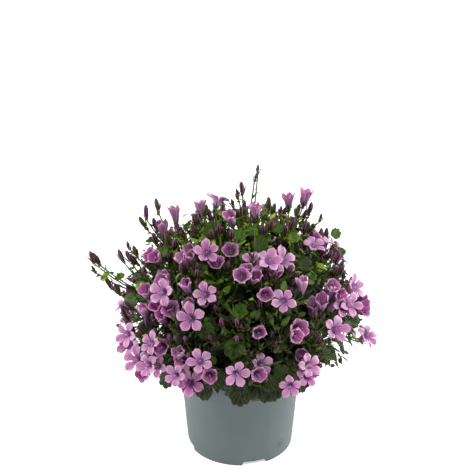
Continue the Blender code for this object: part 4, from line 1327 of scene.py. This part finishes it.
def leaf_finish():
    """Leaf blade: waxy satin green over a darker mottle, with paler veins that fan out from the stalk."""
    finish, tree, shader = start_material("bellflower_leaf")
    across, along, tone = uv_and_tone(tree)
    # The dark end of this ramp is painted shade, for leaves deep and low in the bush.
    skin = add(tree, "ShaderNodeValToRGB", (tone,), stops=(
        (0.0, "#0b0f03"), (1.0, "#86a42c"), (0.35, "#1a2806"), (0.65, "#3b5710")))
    fade = add(tree, MATH, (along, -0.3, 0.36), operation="MULTIPLY_ADD")
    veins = add(tree, MATH, (stripes(tree, across, 14, 14.0), fade), operation="MULTIPLY")
    skin = stain(tree, skin, veins, 1.0, "#86994a")
    where = add(tree, "ShaderNodeTexCoord", out=3)
    mottle = add(tree, "ShaderNodeTexNoise", {"Vector": where, "Scale": per_metre(2.38), "Detail": 4.0})
    skin = stain(tree, skin, mottle, 0.6, "#141c05")
    height = add(tree, MATH, (mottle, veins), operation="SUBTRACT")
    bump = add(tree, "ShaderNodeBump", {"Strength": 0.5, "Distance": 0.4 * MM, "Height": height})
    set_shader(shader, Base_Color=skin, Normal=bump, Roughness=0.55, Specular_IOR_Level=0.15)
    return finish


BUD, LEAF = bud_finish(), leaf_finish()
STALK = growth_finish("green_stalk", "#2a3510", "#6d7f33", 0.5, 3.0)
SEPAL = growth_finish("purple_green_sepal", "#2e1218", "#4d5a1c", 0.55, 2.0)
STYLE = growth_finish("pale_style", "#7a5588", "#c3a3c6", 0.5, 2.0)
print("five green and dark finishes made")

# %% [markdown]
# ## Growing the sprays
#
# Each spray's solid is replaced by two pieces: its petals, and its green parts with the buds. A spray of
# buds alone has no petals. Stalks and calyces share one tone, and sepals, leaflets and buds draw their own.

# %%
# Sprays
PETAL_WALL = 0.28 * MM
TONES = {"star": (0.0, 0.38), "cup": (0.6, 1.0), "funnel": (0.25, 0.85)}
LOBE_TONES = (-0.15, 0.15)
SEPAL_TONES = (0, 0.7)
LEAFLET_TONES = (0.15, 0.85)
STALK_TONE = 0.5
STYLE_TONE = 0.8
NOD = 0.22


def dress_spray(number, plant, rng):
    """The petals of one spray as one piece, and its stalks, sepals, styles and buds as another. Each bloom
    first nods a little to one side, since no two on the real plant face quite the same way."""
    blooms = plant["blooms"]
    for bloom in blooms:
        bloom["facing"] = unit(bloom["facing"] + NOD * rng.uniform(-1, 1, 3))
    low, high = plant["stalk"]
    paths = [curve_through([low, 0.5 * (low + high), high], STALK_ROWS)] + [pedicel(b) for b in blooms]
    rods = [tube(paths[0], STALK_TAPER, STALK_COLUMNS)]
    rods += [tube(path, PEDICEL_TAPER, STALK_COLUMNS) for path in paths[1:]]
    opened = [b for b in blooms if b["kind"] in PROFILES]
    closed = [b for b in blooms if b["kind"] in BUD_MARKS]
    calyces = [turned_body(b, CALYX, *CALYX_GRID) for b in blooms]
    styles = [turned_body(b, STYLES[b["kind"]], *STYLE_GRID) for b in opened]
    buds = [turned_body(b, BUD_MARKS[b["kind"]], *BUD_GRID) for b in closed]
    narrow = np.concatenate([sepals(b, rng) for b in blooms])
    small = np.concatenate([leaflets(path, LEAFLET_LENGTHS[k > 0], rng) for k, path in enumerate(paths)])
    groups = [(rods, np.full(len(rods), STALK_TONE), 0, True),
              (calyces, np.full(len(calyces), STALK_TONE), 0, True),
              (narrow, np.repeat(rng.uniform(*SEPAL_TONES, len(blooms)), LOBES), 1, True),
              (small, rng.uniform(*LEAFLET_TONES, len(small)), 4, True),
              (styles, np.full(len(styles), STYLE_TONE), 3, True),
              (buds, rng.uniform(0, 1, len(buds)), 2, True)]
    groups, finishes = [group for group in groups if len(group[0])], [STALK, SEPAL, BUD, STYLE, LEAF]
    pieces = [(weave(f"stalks_{number:02d}", groups, finishes), "stem_and_leaf")]
    if opened:
        petals = np.concatenate([corolla(b, rng) for b in opened])
        tones = np.repeat([rng.uniform(*TONES[b["kind"]]) for b in opened], LOBES)
        tones = tones + rng.uniform(*LOBE_TONES, len(tones))
        bells = weave(f"bells_{number:02d}", [(petals, tones, 0, False)], [PETAL], PETAL_WALL)
        pieces.append((bells, "petal"))
    for piece, slot in pieces:
        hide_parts(f"spray_{number:02d}")


for number, plant in enumerate(PLANTS, 1):
    dress_spray(number, plant, np.random.default_rng(SEED + number))
print("sprays dressed")

# %% [markdown]
# ## Growing the leafy stems
#
# Each stem's solid is replaced by its stalk and petioles as one piece and its leaf blades as another.

# %%
# Leafy stems
FINE_LEAF_WALL = 0.3 * MM
LARGE_LEAF_TONES = (0.25, 0.65)
STEM_TONE = 0.4
TRUNK_ROWS, TRUNK_SIDES = 20, 7
TRUNK_TAPER = (1.3, 1.1)
FIRST_STEM_SEED = 100
RIM_LEAF_PLACES = rim_leaves(np.random.default_rng(SEED))
VIEW_LEAF_PLACES = leaves_in_view(np.random.default_rng(SEED))


def dress_stem(number, plant, rng):
    """One stem: the stalk with its petioles, and the blades of all its leaves."""
    own, crowd = number - 1, plant["samples"]
    # The large leaves' tones are scaled by height: painted shade low in the bush, painted light towards the
    # crown.
    large = [{**leaf, "tone": rng.uniform(*LARGE_LEAF_TONES) * brightness(leaf["centre"][2])}
             for leaf in plant["leaves"]]
    sets = [(LARGE_LEAF_GRID, large + RIM_LEAF_PLACES.get(own, []) + VIEW_LEAF_PLACES.get(own, []))]
    for layer in LAYERS:
        found, crowd = layer_leaves(own, layer, crowd, rng)
        sets.append(((SMALL_LEAF_ROWS, layer["columns"]), found))
    rods, groups = [], []
    for (rows, columns), leaves in sets:
        grown = [leaf_blade(leaf, rows, columns, rng) for leaf in leaves]
        rods += [petiole(leaf, neck) for leaf, (_, neck) in zip(leaves, grown)]
        if grown:
            groups.append(([blade for blade, _ in grown], [leaf["tone"] for leaf in leaves], 0, False))
    trunk = tube(curve_through(plant["path"], TRUNK_ROWS), TRUNK_TAPER, TRUNK_SIDES)
    stalks = [([trunk], [STEM_TONE], 0, True), (rods, np.full(len(rods), STEM_TONE), 0, True)]
    stalk = weave(f"stalk_{number:02d}", stalks, [STALK])
    blades_of_stem = weave(f"leaves_{number:02d}", groups, [LEAF], FINE_LEAF_WALL)
    for piece in (stalk, blades_of_stem):
        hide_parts(f"stem_{number:02d}")
    return sum(len(leaves) for _, leaves in sets)


leaf_counts = [dress_stem(number, plant, np.random.default_rng(FIRST_STEM_SEED + number))
               for number, plant in enumerate(PLANTS, 1)]
print(sum(leaf_counts), "leaves")

# %% [markdown]
# ## The pot
#
# The pot is injection-moulded polypropylene in a matt slate grey-green: a thin wall with a slight taper, a
# small lip, and a foot ring cut away in four places for drainage. It is turned as one grid whose foot
# rises in the notches. The drain holes are cut by a Boolean, since they don't follow the grid.

# %%
# Pot shape
POT_HEIGHT = 90 * MM
POT_BASE_RADIUS = 51.2 * MM
POT_NECK_RADIUS = 57.8 * MM
POT_WALL = 1.4 * MM
POT_COLUMNS = 180
LIP_RADIUS = 60 * MM
LIP_HEIGHT = 8 * MM
FOOT_HEIGHT = 4.2 * MM
FOOT_WIDTH = 3.2 * MM
CENTRE_FOOT_RADIUS = 9 * MM
NOTCHES = np.radians(np.array([-74, 16, 106, 196]))
NOTCH_HALF = math.radians(14)
NOTCH_SLOPE = 1.6 * MM
DRAIN_RADIUS = 5 * MM
DRAIN_CIRCLE = 31 * MM
DRAIN_COUNT = 6
DRILL_SPAN = (2 * MM, 12 * MM)
DRILL_COLUMNS = 24
EDGE_ROUNDING = 0.5 * MM
NOTCH_CEILING = FOOT_HEIGHT - 0.2 * MM


def wall_radius(height):
    """The pot's outer radius at a height below its lip."""
    return POT_BASE_RADIUS + (POT_NECK_RADIUS - POT_BASE_RADIUS) * height / (POT_HEIGHT - LIP_HEIGHT)


def soften(profile, cut):
    """Each inner corner of a profile becomes three points: one before it, one beside it, one after."""
    profile = np.asarray(profile, float)
    back, ahead = profile[:-2] - profile[1:-1], profile[2:] - profile[1:-1]
    cuts = [np.minimum(cut, 0.4 * np.linalg.norm(way, axis=1))[:, None] for way in (back, ahead)]
    before, after = profile[1:-1] + units(back) * cuts[0], profile[1:-1] + units(ahead) * cuts[1]
    between_them = 0.25 * before + 0.5 * profile[1:-1] + 0.25 * after
    rows = np.stack([before, between_them, after], axis=1).reshape(-1, 2)
    return np.concatenate([profile[:1], rows, profile[-1:]])


def turn_round(profile, columns):
    """A grid turned about the pot's axis: radius and height go round in equal steps."""
    angles = even_angles(columns)
    x, y = profile[:, :1] * np.cos(angles), profile[:, :1] * np.sin(angles)
    return np.stack([x, y, np.broadcast_to(profile[:, 1:], x.shape)], axis=-1), angles


floor_top = FOOT_HEIGHT + POT_WALL
below_lip = POT_HEIGHT - LIP_HEIGHT
POT_PROFILE = (
    (0, 0), (CENTRE_FOOT_RADIUS, 0), (CENTRE_FOOT_RADIUS, FOOT_HEIGHT),
    (wall_radius(FOOT_HEIGHT) - FOOT_WIDTH, FOOT_HEIGHT), (wall_radius(0) - FOOT_WIDTH, 0),
    (wall_radius(0), 0), (POT_NECK_RADIUS, below_lip), (LIP_RADIUS, below_lip), (LIP_RADIUS, POT_HEIGHT),
    (LIP_RADIUS - 2 * POT_WALL, POT_HEIGHT), (POT_NECK_RADIUS - POT_WALL, below_lip),
    (wall_radius(floor_top) - POT_WALL, floor_top), (0, floor_top),
)
pot_grid, pot_angles = turn_round(soften(POT_PROFILE, EDGE_ROUNDING), POT_COLUMNS)
off_notch = np.abs((pot_angles[:, None] - NOTCHES + math.pi) % (2 * math.pi) - math.pi).min(axis=1)
notch = np.clip((NOTCH_HALF - off_notch) * POT_BASE_RADIUS / NOTCH_SLOPE, 0, 1) * NOTCH_CEILING
in_ring = np.hypot(pot_grid[..., 0], pot_grid[..., 1]) > 2 * CENTRE_FOOT_RADIUS
pot_grid[..., 2] = np.where(in_ring, np.maximum(pot_grid[..., 2], notch), pot_grid[..., 2])
print("the pot's profile has", len(pot_grid), "rows")

# %% [markdown]
# Polypropylene is matt and finely grained from its mould, with faint bands where it flowed. The grain is
# drawn 0.7 mm wide, coarser than the real one, or it wouldn't show. The real pot has a few dark scuffs low
# on its right side. They are kept, as a patch of noise round one place.

# %%
# Pot finish
SCUFF_PLACE = (0.0385, -0.0345, 0.0155)


def pot_finish():
    """Moulded polypropylene: matt slate, mottled over some 4 cm, banded by its flow, and scuffed."""
    finish, tree, shader = start_material("moulded_polypropylene")
    where = add(tree, "ShaderNodeTexCoord", out=3)
    cloud = add(tree, "ShaderNodeTexNoise", {"Vector": where, "Scale": per_metre(40), "Detail": 4.0})
    skin = stain(tree, "#475252", cloud, 1.0, "#525e5e")
    flow = {"Vector": where, "Scale": (per_metre(33.3), per_metre(33.3), per_metre(1.67))}
    bands = add(tree, "ShaderNodeMapping", flow)
    streak = add(tree, "ShaderNodeTexNoise", {"Vector": bands, "Scale": 1.0, "Detail": 2.0})
    skin = stain(tree, skin, streak, 0.25, "#434e4e")
    away = add(tree, "ShaderNodeVectorMath", (where, SCUFF_PLACE), out=1, operation="DISTANCE")
    near = add(tree, MATH, (away, -160.0, 1.0), operation="MULTIPLY_ADD", use_clamp=True)
    scratch = (per_metre(1.11), per_metre(1.11), per_metre(3.85))
    slant = {"Vector": where, "Scale": scratch, "Rotation": (0, 0.3, 0)}
    slant = add(tree, "ShaderNodeMapping", slant)
    marks = add(tree, "ShaderNodeTexNoise", {"Vector": slant, "Scale": 1.0, "Detail": 1.0})
    marks = add(tree, MATH, (marks, 12.0, -5.7), operation="MULTIPLY_ADD", use_clamp=True)
    skin = stain(tree, skin, marks, near, "#20262a")
    grain = add(tree, "ShaderNodeTexNoise", {"Vector": where, "Scale": per_metre(0.714), "Detail": 2.0})
    bump = add(tree, "ShaderNodeBump", {"Strength": 0.3, "Distance": 0.2 * MM, "Height": grain})
    set_shader(shader, Base_Color=skin, Normal=bump, Roughness=0.62)
    return finish


# %% [markdown]
# The six drain holes are cut out of the floor by a Boolean, with drills turned in the same way as the pot.
# The cut is applied at once, so that the drills can go.

# %%
# The pot
pot = weave("moulded_pot", [(pot_grid[None], [0.5], 0, True)], [pot_finish()])
low, high = DRILL_SPAN
drill_profile = np.array([(0, low), (DRAIN_RADIUS, low), (DRAIN_RADIUS, high), (0, high)])
drill, _ = turn_round(drill_profile, DRILL_COLUMNS)
turns = even_angles(DRAIN_COUNT)
moves = DRAIN_CIRCLE * np.stack([np.cos(turns), np.sin(turns), 0 * turns], axis=1)
drill_piece = weave("drills", [(drill + moves[:, None, None], np.zeros(DRAIN_COUNT), 0, True)], [])
cut = pot.modifiers.new("drain holes", "BOOLEAN")
cut.operation, cut.object, cut.solver = "DIFFERENCE", drill_piece, "EXACT"
even = pot.modifiers.new("even shading", "WEIGHTED_NORMAL")
even.keep_sharp = True
pot.data = bpy.data.meshes.new_from_object(pot.evaluated_get(bpy.context.evaluated_depsgraph_get()))
pot.modifiers.clear()
bpy.data.objects.remove(drill_piece)
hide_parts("pot")
print("pot made, with", DRAIN_COUNT, "drain holes")

# %% [markdown]
# The compost is a turned body too. Its top is raised and lowered by random crumbs, most in the middle.

# %%
# Compost
SOIL_COLUMNS = 120
SOIL_ROWS = 26
CRUMB = 0.9 * MM
GAP_TO_POT = POT_WALL + 2 * GAP


def compost_finish():
    """Peat compost: dark brown crumbs a few mm across, with paler fibres."""
    finish, tree, shader = start_material("peat_compost")
    where = add(tree, "ShaderNodeTexCoord", out=3)
    crumbs = add(tree, "ShaderNodeTexVoronoi", {"Vector": where, "Scale": per_metre(2.38)})
    skin = stain(tree, "#15100b", crumbs, 1.0, "#3a2c1f")
    fibres = {"Vector": where, "Scale": per_metre(1.43), "Detail": 4.0, "Distortion": 2.0}
    fibres = add(tree, "ShaderNodeTexNoise", fibres)
    fibres = add(tree, MATH, (fibres, 6.0, -3.9), operation="MULTIPLY_ADD", use_clamp=True)
    skin = stain(tree, skin, fibres, 1.0, "#5f4a34")
    bump = add(tree, "ShaderNodeBump", {"Strength": 1.0, "Distance": 1 * MM, "Height": crumbs})
    set_shader(shader, Base_Color=skin, Normal=bump, Roughness=0.95)
    return finish


soil_edge = wall_radius(SOIL_TOP) - GAP_TO_POT
soil_low = floor_top + GAP
across_top = np.linspace(soil_edge, 0, SOIL_ROWS)
top_rows = np.stack([across_top, SOIL_TOP + SOIL_CROWN * (1 - (across_top / soil_edge) ** 2)], axis=1)
SOIL_PROFILE = np.concatenate([[(0, soil_low), (wall_radius(soil_low) - GAP_TO_POT, soil_low)], top_rows])
soil_grid, _ = turn_round(SOIL_PROFILE, SOIL_COLUMNS)
rough = np.random.default_rng(SEED).uniform(-1, 1, (SOIL_ROWS - 1, SOIL_COLUMNS))
soil_grid[2:-1, :, 2] += CRUMB * rough * np.linspace(0.3, 1, SOIL_ROWS - 1)[:, None]
soil = weave("peat_compost", [(soil_grid[None], [0.5], 0, True)], [compost_finish()])
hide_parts("compost")
print("compost made, its top", round(SOIL_TOP / MM), "mm up at the edge")

# %% [markdown]
# ## Floor and light
#
# A pale floor and soft light from both sides, as in a product photograph on white: the pot's edges are
# lighter than its middle, so the side lights are the strong ones. A soft box has a place, a size and a power.

# %%
# Studio
SOFTBOXES = (
    ("left_softbox", (-1.3, 0.25, 0.6), 0.8, 27),
    ("right_softbox", (1.3, 0.3, 0.6), 0.8, 31),
    ("top_softbox", (0.2, -0.9, 1.5), 0.4, 19),
)
AIM = np.array([0, 0, 0.15])
FLOOR_HALF = 8
SKY_STRENGTH = 0.17

for name, place, size, power in SOFTBOXES:
    lamp = bpy.data.lights.new(name, "AREA")
    lamp.size, lamp.energy = size, power
    box = bpy.data.objects.new(name, lamp)
    box.location = place
    x, y, z = AIM - np.array(place)
    box.rotation_euler = (math.atan2(math.hypot(x, y), -z), 0, math.atan2(y, x) - math.pi / 2)
    bpy.context.scene.collection.objects.link(box)

ground = bpy.data.meshes.new("paper_floor")
corners = [(x * FLOOR_HALF, y * FLOOR_HALF, 0) for x, y in ((-1, -1), (1, -1), (1, 1), (-1, 1))]
ground.from_pydata(corners, [], [(0, 1, 2, 3)])
floor = bpy.data.objects.new("paper_floor", ground)
bpy.context.scene.collection.objects.link(floor)
paper, _, paper_shader = start_material("white_paper")
set_shader(paper_shader, Base_Color=(0.93, 0.93, 0.93, 1), Roughness=0.9, Emission_Color=(1, 1, 1, 1),
           Emission_Strength=0.5)
ground.materials.append(paper)

sky = bpy.data.worlds.new("studio")
sky.use_nodes = True
set_inputs(sky.node_tree.nodes["Background"], {"Color": (1, 1, 1, 1), "Strength": SKY_STRENGTH})
bpy.context.scene.world = sky
bpy.context.scene.view_settings.view_transform = "Standard"
print(len(SOFTBOXES), "soft boxes")

# %% [markdown]
# Last, the triangles are counted as a render sees them.

# %%
# Finish
graph = bpy.context.evaluated_depsgraph_get()
triangles = {}
for piece in bpy.context.scene.objects:
    if piece.type == "MESH":
        shape = piece.evaluated_get(graph).to_mesh()
        triangles[piece.name] = sum(len(face.vertices) - 2 for face in shape.polygons)
        piece.evaluated_get(graph).to_mesh_clear()
print(sum(triangles.values()), "triangles, at most", max(triangles.values()), "in one piece")
